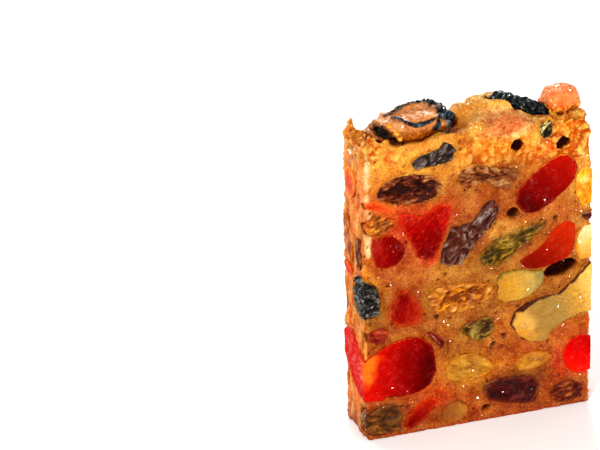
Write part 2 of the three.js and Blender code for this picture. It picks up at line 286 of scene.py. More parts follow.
def add(tree, kind, sockets=(), ramp=(), output=None, **settings):
    """Adds a shader node, sets it up, feeds its inputs and returns its named output, or else its first."""
    made = tree.nodes.new("ShaderNode" + kind)
    for key, value in settings.items():
        setattr(made, key, value)
    for _ in ramp[2:]:
        made.color_ramp.elements.new(0.5)
    for stop, (place, shade) in zip(made.color_ramp.elements if ramp else (), ramp):
        stop.position = place
        stop.color = linear(shade)
    feed(tree, made, sockets)
    return made.outputs[output] if output else next(socket for socket in made.outputs if socket.enabled)


def millimetres(tree, centre=(0, 0, 0), axes=None, stretch=(1, 1, 1)):
    """Object coordinates in mm, measured from a centre along the piece's grain."""
    sockets = {
        "Vector": add(tree, "TexCoord", output="Object"),
        "Location": centre,
        "Rotation": axes.to_euler() if axes else (0, 0, 0),
        "Scale": [MM * s for s in stretch],
    }
    return add(tree, "Mapping", sockets, vector_type="TEXTURE")


def mottle(tree, vector, feature, low, high, detail=3, warp=0.0):
    """A noise pattern of `feature` mm as a factor from 0 to 1, which the low and high noise values bound."""
    pattern = {
        "Vector": vector,
        "Scale": 1 / feature,
        "Detail": detail,
        "Roughness": 0.55,
        "Distortion": warp,
    }
    return add(tree, "MapRange", (add(tree, "TexNoise", pattern), low, high))


def fade_into_crumb(tree, local, flesh, width):
    """Lets a fruit's colour run out into the crumb's over `width` mm inside its outline, frayed."""
    fray = add(tree, "TexNoise", {"Vector": local, "Scale": 1 / FRAY_SIZE, "Detail": 3})
    rim = add(tree, "Attribute", output="Fac", attribute_name="rim")
    edge = add(tree, "Math", (fray, 1.6 * width, rim), operation="MULTIPLY_ADD")
    share = add(tree, "MapRange", (edge, 0.6 * width, 1.9 * width), interpolation_type="SMOOTHSTEP")
    tint = add(tree, "Attribute", output="Color", attribute_name="tint")
    return add(tree, "Mix", (share, tint, flesh), data_type="RGBA")


def drops(tree, local, low, crowd=0.48, size=DROP_SIZE):
    """Scattered drops of syrup, gathered in some places, as a factor from 0 to 1."""
    spots = mottle(tree, local, size, low - 0.06, low, detail=1)
    gathered = mottle(tree, local, 5 * size, crowd, crowd + 0.06, detail=2)
    together = add(tree, "Math", (spots, gathered), operation="MULTIPLY")
    return add(tree, "Math", (together, DROP_COVER), operation="MULTIPLY")


def surface_finish(
    tree, shader, look, height, relief_mm, wet, gloss, rough=(0.3, 0.55), clear=0.0, tint=(1, 0.4, 0.15)
):
    """Links colour, bump and roughness to the shader, and lets syrup stand in spots that catch the light."""
    grid = {"Vector": millimetres(tree), "Scale": 1 / GLINT_SIZE}
    facet = add(tree, "TexVoronoi", grid, output="Color")
    lean = (facet, (GLINT_TILT,) * 3, (-GLINT_TILT / 2,) * 3)
    lean = add(tree, "VectorMath", lean, operation="MULTIPLY_ADD")
    upright = add(tree, "TexCoord", output="Normal")
    facing = add(tree, "VectorMath", (lean, upright), operation="ADD")
    sockets = {
        "Base Color": look,
        "Normal": add(tree, "Bump", {"Height": height, "Distance": relief_mm * MM, "Strength": 0.8}),
        "Roughness": add(tree, "MapRange", {"Value": height, "To Min": rough[1], "To Max": rough[0]}),
        "Coat Normal": add(tree, "VectorMath", (facing,), operation="NORMALIZE"),
        "Coat Weight": wet,
        "Coat Roughness": 0.09,
        "Coat IOR": 1.5,
        "IOR": 1.46,
        "Specular IOR Level": gloss,
        "Subsurface Weight": clear,
        "Subsurface Radius": tint,
        "Subsurface Scale": 0.8 * MM,
    }
    feed(tree, shader, sockets)


def glace_cherry(look, centre, axes, half, settings):
    """Glace cherry cut by a knife: sugar-soaked translucent flesh.

    It reads as one deep clear red with a fine grain, sticky small glints and, where the knife tore it, short
    fibres.
    It is painted brighter towards one side and painted orange-red at its rim: painted light through the clear
    flesh.
    """
    material, tree, shader = new_material(f"glace_{look.node}")
    local = millimetres(tree, centre, axes)
    rim = add(tree, "Attribute", output="Fac", attribute_name="rim")
    glow = add(tree, "Attribute", output="Fac", attribute_name="glow")
    # painted light: the flesh is painted from deep to bright towards its lit side
    angle = math.radians(look.light_side)
    to_light = (math.cos(angle) / half[0], math.sin(angle) / half[1], 0)
    slope = add(tree, "VectorMath", (local, to_light), operation="DOT_PRODUCT")
    swell = mottle(tree, local, 4.5, 0.3, 0.7)
    wavy = add(tree, "Math", (swell, 0.5, slope), operation="MULTIPLY_ADD")
    share = add(tree, "MapRange", (wavy, -0.75, 1.25))
    flesh = add(tree, "ValToRGB", (share,), ((0.05, look.deep), (0.45, look.body), (1.0, look.bright)))
    # painted light: a brighter band just within the outline, where light shines through the thin edge of the
    # flesh
    thin = add(tree, "MapRange", {"Value": rim, "To Min": 0.35, "To Max": 0.0})
    flesh = add(tree, "Mix", (thin, flesh, linear(look.bright)), data_type="RGBA")
    stretch = (1 + 1.8 * look.fibre, 1 - 0.3 * look.fibre, 1 + 0.6 * look.fibre)
    strands = millimetres(tree, centre, axes, stretch)
    thread = mottle(tree, strands, 0.8, 0.4, 0.6, detail=2, warp=0.6)
    dark = add(tree, "Mix", (0.2 + 0.45 * look.fibre, flesh, linear(look.deep)), data_type="RGBA")
    flesh = add(tree, "Mix", (thread, dark, flesh), data_type="RGBA")
    lights = mottle(tree, strands, 0.7, 0.6, 0.75, detail=1)
    # the second wash is painted light: an orange line where light shines through the flesh at its edge
    for place, amount, shade in ((lights, 0.05 + 0.4 * look.fibre, look.bright), (glow, 0.75, "fc8424")):
        share = add(tree, "Math", (place, amount), operation="MULTIPLY")
        flesh = add(tree, "Mix", (share, flesh, linear(shade)), data_type="RGBA")
    flesh = fade_into_crumb(tree, local, flesh, look.soft)
    wet_rim = add(tree, "MapRange", (rim, 0.1, 0.5, DROP_COVER, 0.0))
    wet = add(tree, "Math", (drops(tree, local, 0.54), wet_rim), operation="MAXIMUM")
    relief = 0.1 + 0.25 * look.fibre
    surface_finish(tree, shader, flesh, thread, relief, wet, settings.flesh_gloss, clear=0.12)
    return material


def dried_skin(look, centre, axes, settings):
    """Skin and pulp of a dried fruit, folded as it shrank and then soaked with syrup.

    Its grooves are painted nearly black as shade and its folds carry a painted grey or amber highlight, and
    torn places show sticky pulp.
    """
    material, tree, shader = new_material(f"syruped_{look.node}")
    groove, body, ridge, sheen, pulp = look.shades.split()
    local = millimetres(tree, centre, axes)
    strands = millimetres(tree, centre, axes, (2.2, 0.8, 1.4))
    relief = add(tree, "Attribute", output="Fac", attribute_name="relief")
    crease = mottle(tree, strands, 0.9, 0.3, 0.7, detail=4, warp=0.8)
    height = add(tree, "Mix", (0.35, relief, crease))
    # painted shade and light: the skin darkens into its grooves and is painted pale on the tops of its folds
    skin = add(tree, "ValToRGB", (height,), ((0.14, groove), (0.36, body), (0.6, ridge), (0.84, sheen)))
    swell = add(tree, "Math", (mottle(tree, local, 3.0, 0.35, 0.65), 0.5), operation="MULTIPLY")
    skin = add(tree, "Mix", (swell, skin, linear("a08070")), data_type="RGBA", blend_type="MULTIPLY")
    start = 0.72 - 0.3 * look.pulp_share
    torn = mottle(tree, strands, 1.3, start, start + 0.08, detail=2, warp=0.5)
    torn = add(tree, "Math", (torn, 0.8), operation="MULTIPLY")
    skin = add(tree, "Mix", (torn, skin, linear(pulp)), data_type="RGBA")
    skin = fade_into_crumb(tree, local, skin, look.soft)
    wet = drops(tree, local, 0.52, crowd=0.42)
    surface_finish(tree, shader, skin, height, 0.4, wet, settings.skin_gloss, clear=look.clear)
    return material


def nut_kernel(look, centre, axes, half):
    """Blanched nut meat, waxy and close-grained, with its papery brown skin along the rim.

    It reads as soft cream that turns greenish-grey in its thick places, an oily highlight, and a thin dark
    line where the skin is cut.
    """
    material, tree, shader = new_material(f"nut_meat_{look.node}")
    local = millimetres(tree, centre, axes)
    skin = add(tree, "Attribute", output="Fac", attribute_name="skin")
    lobe = add(tree, "Attribute", output="Fac", attribute_name="lobe")
    cloud = mottle(tree, local, 2.4, 0.3, 0.7, detail=4)
    grain = mottle(tree, local, 0.6, 0.3, 0.7)
    along = add(tree, "VectorMath", (local, (0.5 / half[0], 0, 0)), operation="DOT_PRODUCT")
    wavy = add(tree, "Math", (cloud, 0.2, along), operation="MULTIPLY_ADD")
    share = add(tree, "Math", (wavy, 0.4), operation="ADD")
    meat = add(tree, "ValToRGB", (share,), look.fields)
    shade = add(tree, "Math", (cloud, 0.4), operation="MULTIPLY")
    meat = add(tree, "Mix", (shade, meat, linear("c8a878")), data_type="RGBA", blend_type="MULTIPLY")
    dark = add(tree, "Mix", (0.3, meat, linear("6a4410")), data_type="RGBA")
    meat = add(tree, "Mix", (grain, dark, meat), data_type="RGBA")
    # painted highlight: the raised lobe is painted lighter
    meat = add(tree, "Mix", (lobe, meat, linear(look.lobe)), data_type="RGBA")
    meat = fade_into_crumb(tree, local, meat, look.soft)
    meat = add(tree, "Mix", (skin, meat, linear(look.skin)), data_type="RGBA")
    height = add(tree, "Mix", (0.6, cloud, grain))
    wet = drops(tree, local, 0.48, crowd=0.38)
    surface_finish(tree, shader, meat, height, 0.35, wet, 0.25, clear=0.15, tint=(1, 0.7, 0.35))
    return material


def baked_prune(look, centre):
    """Prune baked into the crust under a film of batter.

    Bare skin reads as glossy blue-black, painted with shade in its wrinkles and a grey sheen on their tops;
    the batter over it is tan above and amber below, with a near-black cleft, painted shade in the gap where
    the fruit has split, and pale yellow crumbs along it.
    """
    material, tree, shader = new_material(f"baked_{look.node}")
    local = millimetres(tree, centre)
    names = ("relief", "under", "skin", "cleft", "crumbs")
    relief, under, skin, cleft, crumbs = (
        add(tree, "Attribute", output="Fac", attribute_name=name) for name in names
    )
    patch = mottle(tree, local, 1.5, 0.35, 0.65)
    above = add(tree, "Mix", (patch, linear(look.batter), linear(look.batter_light)), data_type="RGBA")
    below = add(tree, "Mix", (patch, linear(look.under), linear(look.under_light)), data_type="RGBA")
    batter = add(tree, "Mix", (under, above, below), data_type="RGBA")
    grain = mottle(tree, local, 0.5, 0.34, 0.66)
    dark = add(tree, "Mix", (0.45, batter, linear("5a1e04")), data_type="RGBA")
    batter = add(tree, "Mix", (grain, dark, batter), data_type="RGBA")
    crease = mottle(tree, local, 0.8, 0.32, 0.7, detail=4, warp=0.6)
    height = add(tree, "Mix", (0.5, relief, crease))
    # painted shade and light: the bare skin darkens in its wrinkles and is painted with a grey and
    # bluish-white sheen on their tops
    ramp = ((0.25, look.groove), (0.6, look.body), (0.85, look.sheen), (1.0, "aab8c4"))
    fruit = add(tree, "ValToRGB", (height,), ramp)
    crumb = add(tree, "Mix", (grain, linear("c87414"), linear("f4b848")), data_type="RGBA")
    surface = batter
    # the cleft is painted near-black: painted shade in the sunk gap
    for place, cover in ((skin, fruit), (cleft, linear("1c0502")), (crumbs, crumb)):
        surface = add(tree, "Mix", (place, surface, cover), data_type="RGBA")
    wet = drops(tree, local, 0.48, crowd=0.4, size=1.0)
    surface_finish(tree, shader, surface, height, 0.35, wet, 0.3, rough=(0.2, 0.5))
    return material


def baked_apricot(look, centre):
    """Dried apricot baked on the crust.

    It reads as smooth peach-pink where it is bare, and as crumbly glossy orange below.
    """
    material, tree, shader = new_material(f"baked_{look.node}")
    local = millimetres(tree, centre)
    under = add(tree, "Attribute", output="Fac", attribute_name="under")
    cloud = mottle(tree, local, 2.2, 0.35, 0.65)
    bare = add(tree, "Mix", (cloud, linear(look.batter), linear(look.batter_light)), data_type="RGBA")
    grain = mottle(tree, local, 0.9, 0.34, 0.62, detail=4)
    # painted shade and light: the crumbly part is darker where its grain is low and paler where it is high,
    # as its bump is
    crumbly = add(tree, "ValToRGB", (grain,), ((0.1, "b04a04"), (0.5, look.under), (0.95, look.under_light)))
    surface = add(tree, "Mix", (under, bare, crumbly), data_type="RGBA")
    wet = drops(tree, local, 0.5, crowd=0.4)
    surface_finish(tree, shader, surface, grain, 0.4, wet, 0.3, rough=(0.25, 0.5), clear=0.1)
    return material


def crumb_material(settings):
    """Moist, butter-rich cake crumb with a browned crust.

    It reads as a close, moist paste of tan and honey with a fine pale and dark grain, torn into golden grains
    under the crust, painted darker in their hollows and paler on their tops as shade and light. Holes and the
    walls sunk behind the faces are painted dark brown as shade, the baked sides are streaked and glossy, and
    butter stands on it in small points of light.
    """
    material, tree, shader = new_material("baked_fruit_cake_crumb")
    local = millimetres(tree)
    tint = add(tree, "Attribute", output="Color", attribute_name="tint")
    torn, relief, sides, holes, recess_shade, glaze = (
        add(tree, "Attribute", output="Fac", attribute_name=name)
        for name in ("torn", "relief", "side", "holes", "recess_shade", "glaze")
    )
    cloud = mottle(tree, local, 3.4, 0.3, 0.7, warp=0.4)
    clump = mottle(tree, local, 1.3, 0.32, 0.68, detail=4)
    grain = mottle(tree, local, 0.42, 0.34, 0.6, detail=2)
    # the cut crumb: clouds of deeper and paler paste, pale clumps, dark grains and pale sugary ones
    deep = add(tree, "Mix", (1.0, tint, linear("c48448")), data_type="RGBA", blend_type="MULTIPLY")
    paler = add(tree, "Mix", (0.08, tint, linear("fcd490")), data_type="RGBA")
    crumb = add(tree, "Mix", (cloud, deep, paler), data_type="RGBA")
    pale = add(tree, "Mix", (0.3, tint, linear("f4a83c")), data_type="RGBA")
    share = add(tree, "Math", (clump, 0.5), operation="MULTIPLY")
    crumb = add(tree, "Mix", (share, crumb, pale), data_type="RGBA")
    dark = add(tree, "Mix", (0.34, crumb, linear("641c02")), data_type="RGBA")
    crumb = add(tree, "Mix", (grain, dark, crumb), data_type="RGBA")
    share = add(tree, "Math", (mottle(tree, local, 0.6, 0.56, 0.7, detail=2), 0.22), operation="MULTIPLY")
    crumb = add(tree, "Mix", (share, crumb, linear("fcc460")), data_type="RGBA")
    # where it is torn: painted shade in its hollows and painted light on its tops, following its relief
    ragged = add(tree, "Mix", (0.45, relief, clump))
    low = add(tree, "MapRange", (ragged, 0.55, 0.25))
    high = add(tree, "MapRange", (ragged, 0.55, 0.8))
    pit_shade = add(tree, "Mix", (1.0, tint, linear("d08048")), data_type="RGBA", blend_type="MULTIPLY")
    peak_light = add(tree, "Mix", (0.4, tint, linear("ffdc8c")), data_type="RGBA")
    broken = add(tree, "Mix", (low, crumb, pit_shade), data_type="RGBA")
    broken = add(tree, "Mix", (high, broken, peak_light), data_type="RGBA")
    # the baked sides: upright streaks, some of them red with juice
    streaks = mottle(tree, millimetres(tree, stretch=(1.0, 0.8, 5.0)), 1.2, 0.35, 0.65, detail=4, warp=0.5)
    juicy = mottle(tree, millimetres(tree, stretch=(1.0, 1.0, 3.0)), 1.6, 0.52, 0.64, detail=3)
    juicy = add(tree, "Math", (juicy, 0.6), operation="MULTIPLY")
    browned = add(tree, "Mix", (1.0, tint, linear("f0a050")), data_type="RGBA", blend_type="MULTIPLY")
    light = add(tree, "Mix", (0.5, tint, linear("fcd484")), data_type="RGBA")
    baked = add(tree, "Mix", (streaks, browned, light), data_type="RGBA")
    baked = add(tree, "Mix", (juicy, baked, linear("dc4408")), data_type="RGBA")
    # painted shade: near-black browns within holes and on walls sunk behind the faces, where no light reaches
    inside = add(tree, "Mix", (cloud, linear("2c0801"), linear("5c2004")), data_type="RGBA")
    sides = add(tree, "Math", (sides, 0.8), operation="MULTIPLY")
    # the holes are painted dark brown as shade
    holes = add(tree, "Math", (holes, 0.75), operation="MULTIPLY")
    for place, cover in ((torn, broken), (sides, baked), (holes, linear("4c1802")), (recess_shade, inside)):
        crumb = add(tree, "Mix", (place, crumb, cover), data_type="RGBA")
    pools = add(tree, "Math", (mottle(tree, local, 0.9, 0.5, 0.7, detail=2), glaze), operation="MULTIPLY")
    wet = add(tree, "Math", (drops(tree, local, 0.52, crowd=0.42), pools), operation="MAXIMUM")
    height = add(tree, "Mix", (0.5, clump, grain))
    surface_finish(tree, shader, crumb, height, 0.5, wet, settings.gloss, clear=0.06)
    return material


# ---- the fruits, kind by kind ----

# The lit-side turn is the side that the flesh is painted brighter towards, painted light through the clear
# fruit, and `fibre` says how torn its flesh is, 0 to 1. `soft` is the width in mm over which its outline runs
# out into the crumb, and the last field is a painted orange line of light shining through the flesh at its
# edge.
# painted light along the big cherry's left edge, where light shines through its flesh
BIG_CHERRY_PAINTED_GLOW = ((-30, -7.5, 17.5), (-29, -7.5, 21.5))
Cherry = namedtuple(
    "Cherry", "node face turn deep body bright light_side fibre soft glow", defaults=(0.0, 0.15, ())
)
CHERRIES = (
    Cherry("cherry_long", "front", 38, "4a0305", "880802", "bc2004", 10),
    Cherry("cherry_wedge", "front", 48, "780200", "aa0804", "d03a1c", 60, 0.9, 1.4),
    Cherry("cherry_sliver", "front", -26, "a81806", "c83410", "e8743c", 0, 0.5, 1.6),
    Cherry("cherry_small", "front", 60, "680300", "960803", "b83824", 120, 0.8, 1.0),
    Cherry("cherry_orange", "front", 22, "7c1400", "981e00", "c03404", 20, 0.1, 0.15),
    Cherry("cherry_faint", "front", 80, "740402", "9c1008", "bc4420", 240, 0.7, 2.0),
    Cherry("cherry_edge", "front", 0, "a80200", "cc0801", "ec280c", 250, 0.2, 0.3),
    Cherry("cherry_big", "front", 0, "500002", "900300", "d01804", 172, 0.0, 0.15, BIG_CHERRY_PAINTED_GLOW),
    Cherry("cherry_base", "front", 32, "740600", "940f04", "c4380c", 30, 0.5, 1.6),
    Cherry("cherry_left_high", "left", 20, "b83008", "cc4414", "ec7434", 90, 0.4, 2.2),
    Cherry("cherry_side_sliver", "left", 12, "a00400", "c01404", "e84c24", 90, 0.3, 0.8),
    Cherry("cherry_right", "right", 0, "900400", "b80c02", "d83c18", 90, 0.2, 0.6),
    Cherry("cherry_back_high", "back", -24, "540406", "960802", "c83010", 180),
    Cherry("cherry_back_mid", "back", 15, "740200", "a60804", "cc3c1c", 45, 0.7, 0.8),
    Cherry("cherry_back_low", "back", 20, "600002", "a20400", "d83414", 20),
)

# `shades` are those of its grooves (painted shade), body, ridges and sheen (painted highlights) and pulp, and
# `clear` is how much light it lets in. `fold` is how deep its folds are and `spacing` how far apart, in mm,
# and
# `hollow` how far its middle sank, which is also painted darker as shade.
Dried = namedtuple(
    "Dried", "node face turn shades pulp_share clear fold soft spacing hollow", defaults=(0.0,)
)
RAISINS = (
    Dried("raisin_crust", "front", 60, "080504 241a10 84703c ecdc98 b89850", 0.2, 0.0, 0.6, 0.5, 0.8),
    Dried("raisin_ridge", "front", 38, "140806 34221c 5c4e48 908880 5a2410", 0.1, 0.0, 0.8, 0.5, 0.9),
    Dried("raisin_wide", "front", -4, "2c0a04 5c200a 84441e b08054 a84c18", 0.28, 0.0, 0.9, 1.0, 1.3, 0.9),
    Dried("raisin_flat", "front", -9, "441806 84481c a06c3c c09464 b05020", 0.3, 0.0, 0.7, 1.0, 1.0, 0.3),
    Dried("raisin_long", "front", 52, "280a06 5c2414 784e3c 94908c 6a2812", 0.2, 0.0, 0.8, 0.7, 1.0),
    Dried("raisin_corner", "left", -12, "060404 1c140e 34322c 7c7a70 3a1a10", 0.1, 0.0, 0.7, 0.4, 1.1),
    Dried("raisin_olive", "front", 8, "2e1c04 5a3c0e 7c6424 a89048 a8802a", 0.3, 0.1, 0.6, 1.6, 1.0),
    Dried("raisin_edge", "front", 0, "2a0a06 5a180c 7c3c28 b07c58 90401c", 0.2, 0.0, 0.6, 0.5, 1.2),
    Dried("raisin_base", "front", 4, "3c0802 5c1a06 8c4010 b46c30 a05014", 0.3, 0.1, 0.4, 1.0, 1.2),
    Dried("raisin_side", "left", 80, "2e0602 561a0c 804430 b88860 8a4520", 0.2, 0.0, 0.5, 0.5, 1.2),
    Dried("raisin_right", "right", 20, "1e0c08 44281e 6c584a a08c78 8a4520", 0.2, 0.0, 0.7, 0.6, 1.3),
    Dried("raisin_back_high", "back", 8, "180b08 34221c 58504a 8c8884 7a3d20", 0.2, 0.0, 0.7, 0.6, 1.4),
    Dried("raisin_back_mid", "back", -30, "240604 4a1a10 784c3c b08c74 b8501c", 0.4, 0.0, 0.8, 0.8, 1.6, 0.7),
    Dried("raisin_back_low", "back", 12, "341206 663418 8a6448 b89878 a85420", 0.3, 0.0, 0.7, 0.8, 1.4),
)
SULTANAS = (
    Dried("sultana_left", "front", 22, "582406 904c0c b87420 dc9c44 b86414", 0.3, 0.2, 0.5, 1.4, 0.9),
    Dried("sultana_mid", "front", 8, "7c3c04 b46c20 cc8c34 f0c070 ec9c18", 0.45, 0.2, 0.6, 1.8, 1.2, 0.8),
    Dried("sultana_edge", "front", 80, "b87008 e4960c f8b438 ffd880 f0a010", 0.2, 0.3, 0.3, 1.0, 1.6),
    Dried("sultana_gold", "front", -20, "8c5c10 aa7418 b8842c c89840 b47c20", 0.3, 0.3, 0.15, 1.8, 1.8),
    Dried("sultana_pale", "front", 12, "9c6418 b67c22 c48c30 d09c48 bc8428", 0.3, 0.3, 0.12, 1.6, 1.8),
    Dried("sultana_right", "right", 72, "a0600c cc8a18 e4a838 f8cc78 e09c20", 0.3, 0.3, 0.3, 1.2, 1.6),
    Dried("sultana_back_high", "back", 12, "643404 a06010 bf8834 dcb070 d08c2c", 0.4, 0.2, 0.5, 1.2, 1.5),
    Dried("sultana_back_mid", "back", 18, "8a5008 b4740e c88a28 dcac54 c88420", 0.3, 0.3, 0.3, 1.6, 1.8),
    Dried("sultana_back_low", "back", -10, "6a2c06 a0540e c88028 e4a850 c87018", 0.3, 0.2, 0.4, 1.2, 1.3),
)
PEELS = (
    Dried("peel_left", "front", 0, "540602 7c1206 9c3010 c05c34 8c2408", 0.3, 0.1, 0.25, 0.7, 1.4),
    Dried("peel_shoulder", "front", -38, "440202 680c06 842818 a86048 7c1c0a", 0.3, 0.1, 0.25, 0.7, 1.4),
    Dried("peel_maroon", "front", -8, "2c0300 460804 5c140c 783024 541008", 0.2, 0.0, 0.2, 1.4, 2.2),
    Dried("peel_base", "front", 4, "3a1c04 5c340c 7c5018 a87834 7c4410", 0.4, 0.1, 0.3, 1.3, 1.8),
    Dried("peel_side", "left", 76, "803002 ac500e cc7c34 e8ac6c c46818", 0.3, 0.1, 0.35, 0.9, 1.1),
)
CITRONS = (
    Dried("citron_green", "front", 27, "2c2404 543e04 7c5e0c ac943c b07c14", 0.3, 0.1, 0.5, 1.7, 1.1),
    Dried("citron_back", "back", -32, "423408 786018 9c8830 c4ac4c a88828", 0.3, 0.1, 0.5, 1.2, 1.1),
)

# `fields` are the colours along the kernel, `lobe` is the painted highlight on its raised lobe and
# `skin_side` is its skin's side.
Nut = namedtuple("Nut", "node face turn fields lobe skin skin_side soft", defaults=(0.4,))
PALE_MEAT = ((0.1, "cc9020"), (0.4, "d4a438"), (0.65, "c8a450"), (0.95, "a09050"))
THICK_MEAT = ((0.0, "dc9c30"), (0.22, "b48c40"), (0.5, "ac8a42"), (0.7, "d09c38"), (0.88, "fccc6c"))
CREAM_MEAT = ((0.1, "f0a434"), (0.45, "fac870"), (0.8, "fce0a8"))
BAKED_MEAT = ((0.1, "94540c"), (0.5, "a86a14"), (0.9, "bc8424"))
NUTS = (
    Nut("walnut_small", "front", 6, PALE_MEAT, "8c7018", "8c7420", 95, 0.7),
    Nut("walnut_large", "front", 24, THICK_MEAT, "e4b45c", "4c1c06", 130, 0.3),
    Nut("nut_edge", "front", 90, CREAM_MEAT, "fce0a0", "d88c20", 180, 0.9),
    Nut("nut_base", "front", 0, BAKED_MEAT, "d4a250", "8c5010", 90, 1.6),
    Nut("walnut_back", "back", 10, THICK_MEAT, "fcd488", "4c1c06", 80, 0.3),
    Nut("nut_back", "back", 8, PALE_MEAT, "8c7018", "7c4410", 90, 0.6),
)
FRONT_Y = -HALF_THICKNESS
WALNUT_LOBE = [(x, FRONT_Y, z) for x, z in ((10.4, 25.2), (12.0, 26.0), (13.4, 24.6))]
WALNUT_SKIN = [
    (x, FRONT_Y, z)
    for x, z in (
        (8.7, 28.3),
        (10.5, 29),
        (12.4, 29.6),
        (14.4, 30.7),
        (16.4, 31.7),
        (19.4, 32.1),
        (21.6, 32.1),
    )
]


def stain_of(look):
    """The colour that a fruit gives to the crumb round it, how far in mm, and how strongly."""
    if look in CHERRIES:
        return look.bright, 0.7 + 1.3 * look.fibre, 0.35 + 0.4 * look.fibre
    if look in NUTS:
        return look.fields[1][1], 0.6, 0.35
    return look.shades.split()[1], 1.0, 0.4


def start_piece(look, smoothing, settings):
    """A fruit's body, with its grain and how far each point lies inside its outline."""
    axes = grain_axes(look.face, look.turn)
    centre, half = centre_and_half(look.node, axes)
    piece = fruit_body(look.node, smoothing, settings)
    points = coordinates(piece)
    shade, _, share = stain_of(look)
    store(piece, "tint", washed(crumb_tone(points), [(shade, np.full(len(points), share))]))
    return piece, axes, centre, half, rim_distance(points), (points - np.array(centre)) @ np.array(axes)


def cherry_piece(look, seed, settings):
    piece, axes, centre, half, rim, grain = start_piece(look, settings.rounding, settings)
    fibres = drift(grain / (2.6, 0.7, 1.6), 0.9, seed) if look.fibre else 0
    push_in(piece, 0.05 + 0.1 * drift(grain, 3.0, seed) + 0.5 * look.fibre * np.abs(fibres))
    store(piece, "rim", rim)
    points = coordinates(piece)
    # the painted orange line of light through the flesh, for the material
    store(piece, "glow", stroke(points, look.glow, 2.2, seed, 0.9) if look.glow else np.zeros(len(points)))
    slot = "orange" if look.node == "cherry_orange" else "cherry"
    finish_piece(piece, look.node, slot, glace_cherry(look, centre, axes, half, settings))


DEEPEST_FOLD = 1.4  # mm


def dried_folds(grain, spacing, seed):
    """Crumpled skin: how far each point is up a broad fold, and whether it is on a narrow crease."""
    places = grain / (1.9, 1.0, 1.5)
    swirl = np.column_stack([drift(places, 3.2, seed + step) for step in (0.1, 0.4, 0.7)])
    places = (places + 2.0 * MM * swirl) / spacing
    broad = np.clip(2.4 * np.abs(drift(places, 1.7, seed)), 0, 1)
    creases = np.clip(1 - 4 * np.abs(drift(places / (1.5, 1, 1), 0.7, seed + 0.5)), 0, 1)
    return broad, creases


def dried_piece(look, seed, settings, slot):
    piece, axes, centre, half, rim, grain = start_piece(look, settings.rounding, settings)
    broad, creases = dried_folds(grain, look.spacing, seed)
    stretched = grain / (2.2, 1.0, 1.6)
    fine = drift(stretched, 0.5, seed + 0.2)
    from_middle = np.hypot(grain[:, 0] / half[0], grain[:, 1] / half[1]) / MM
    hollow = look.hollow * smoothstep(0.62, 0.3, from_middle + 0.4 * drift(stretched, 1.8, seed))
    fold = 0.7 * broad + 0.3 * creases
    depth = look.fold * (1.1 * (1 - fold) + 0.15 * fine) * smoothstep(-0.3, 0.5, rim) + 0.9 * hollow
    ragged = 1.1 * smoothstep(0.6, -0.1, rim) * (0.3 + drift(coordinates(piece), 1.5, seed + 0.9))
    push_in(piece, np.minimum(depth + ragged * min(look.fold, 0.6), DEEPEST_FOLD))
    # the sunk middle lowers the relief, so it is also painted darker as shade
    relief = 0.15 + 0.5 * broad + 0.45 * creases * broad - 0.6 * hollow + 0.3 * fine
    store(piece, "relief", np.clip(relief, 0, 1))
    store(piece, "rim", rim)
    finish_piece(piece, look.node, slot, dried_skin(look, centre, axes, settings))


def nut_piece(look, seed, settings):
    piece, axes, centre, half, rim, grain = start_piece(look, settings.rounding, settings)
    points = coordinates(piece)
    lobe = np.zeros(len(points))
    if look.node == "walnut_large":
        lobe = 0.5 * stroke(points, WALNUT_LOBE, 1.6, seed, 0.8)
    push_in(piece, 0.15 + 0.35 * drift(grain, 3.4, seed) + 0.15 * drift(grain, 1.2, seed) - 0.3 * lobe)
    angle = math.radians(look.skin_side - look.turn)
    reach = np.maximum(np.hypot(grain[:, 0] / half[0], grain[:, 1] / half[1]) / MM, 0.01)
    side = (grain[:, 0] * math.cos(angle) / half[0] + grain[:, 1] * math.sin(angle) / half[1]) / MM / reach
    band = 0.25 + 0.6 * smoothstep(0.0, 0.6, side)
    skin = smoothstep(1.3, 0.7, rim / band + 0.5 * drift(points, 1.5, seed))
    if look.node == "walnut_large":
        skin = np.maximum(skin, stroke(points, WALNUT_SKIN, 0.9, seed + 1))
    store(piece, "skin", skin)
    store(piece, "lobe", lobe)
    store(piece, "rim", rim)
    finish_piece(piece, look.node, "nut", nut_kernel(look, centre, axes, half))


# ---- what lies on the crust ----

# On the prunes, groove, body and sheen colour the bare skin by its wrinkles: painted shade in the grooves,
# painted sheen on the tops.
Topping = namedtuple("Topping", "node slot batter batter_light under under_light groove body sheen")
TOPPINGS = (
    Topping("prune_swirl", "prune", "cc8240", "ecaa70", "8c4604", "c87a14", "040607", "0e171b", "44565e"),
    Topping("prune_strip", "prune", "b0803c", "e0b468", "a06018", "c88c30", "030505", "0b1516", "38484c"),
    Topping("apricot_lump", "apricot", "e47834", "f09858", "e07408", "fcc050", "c04a10", "e06a28", "f4b080"),
)
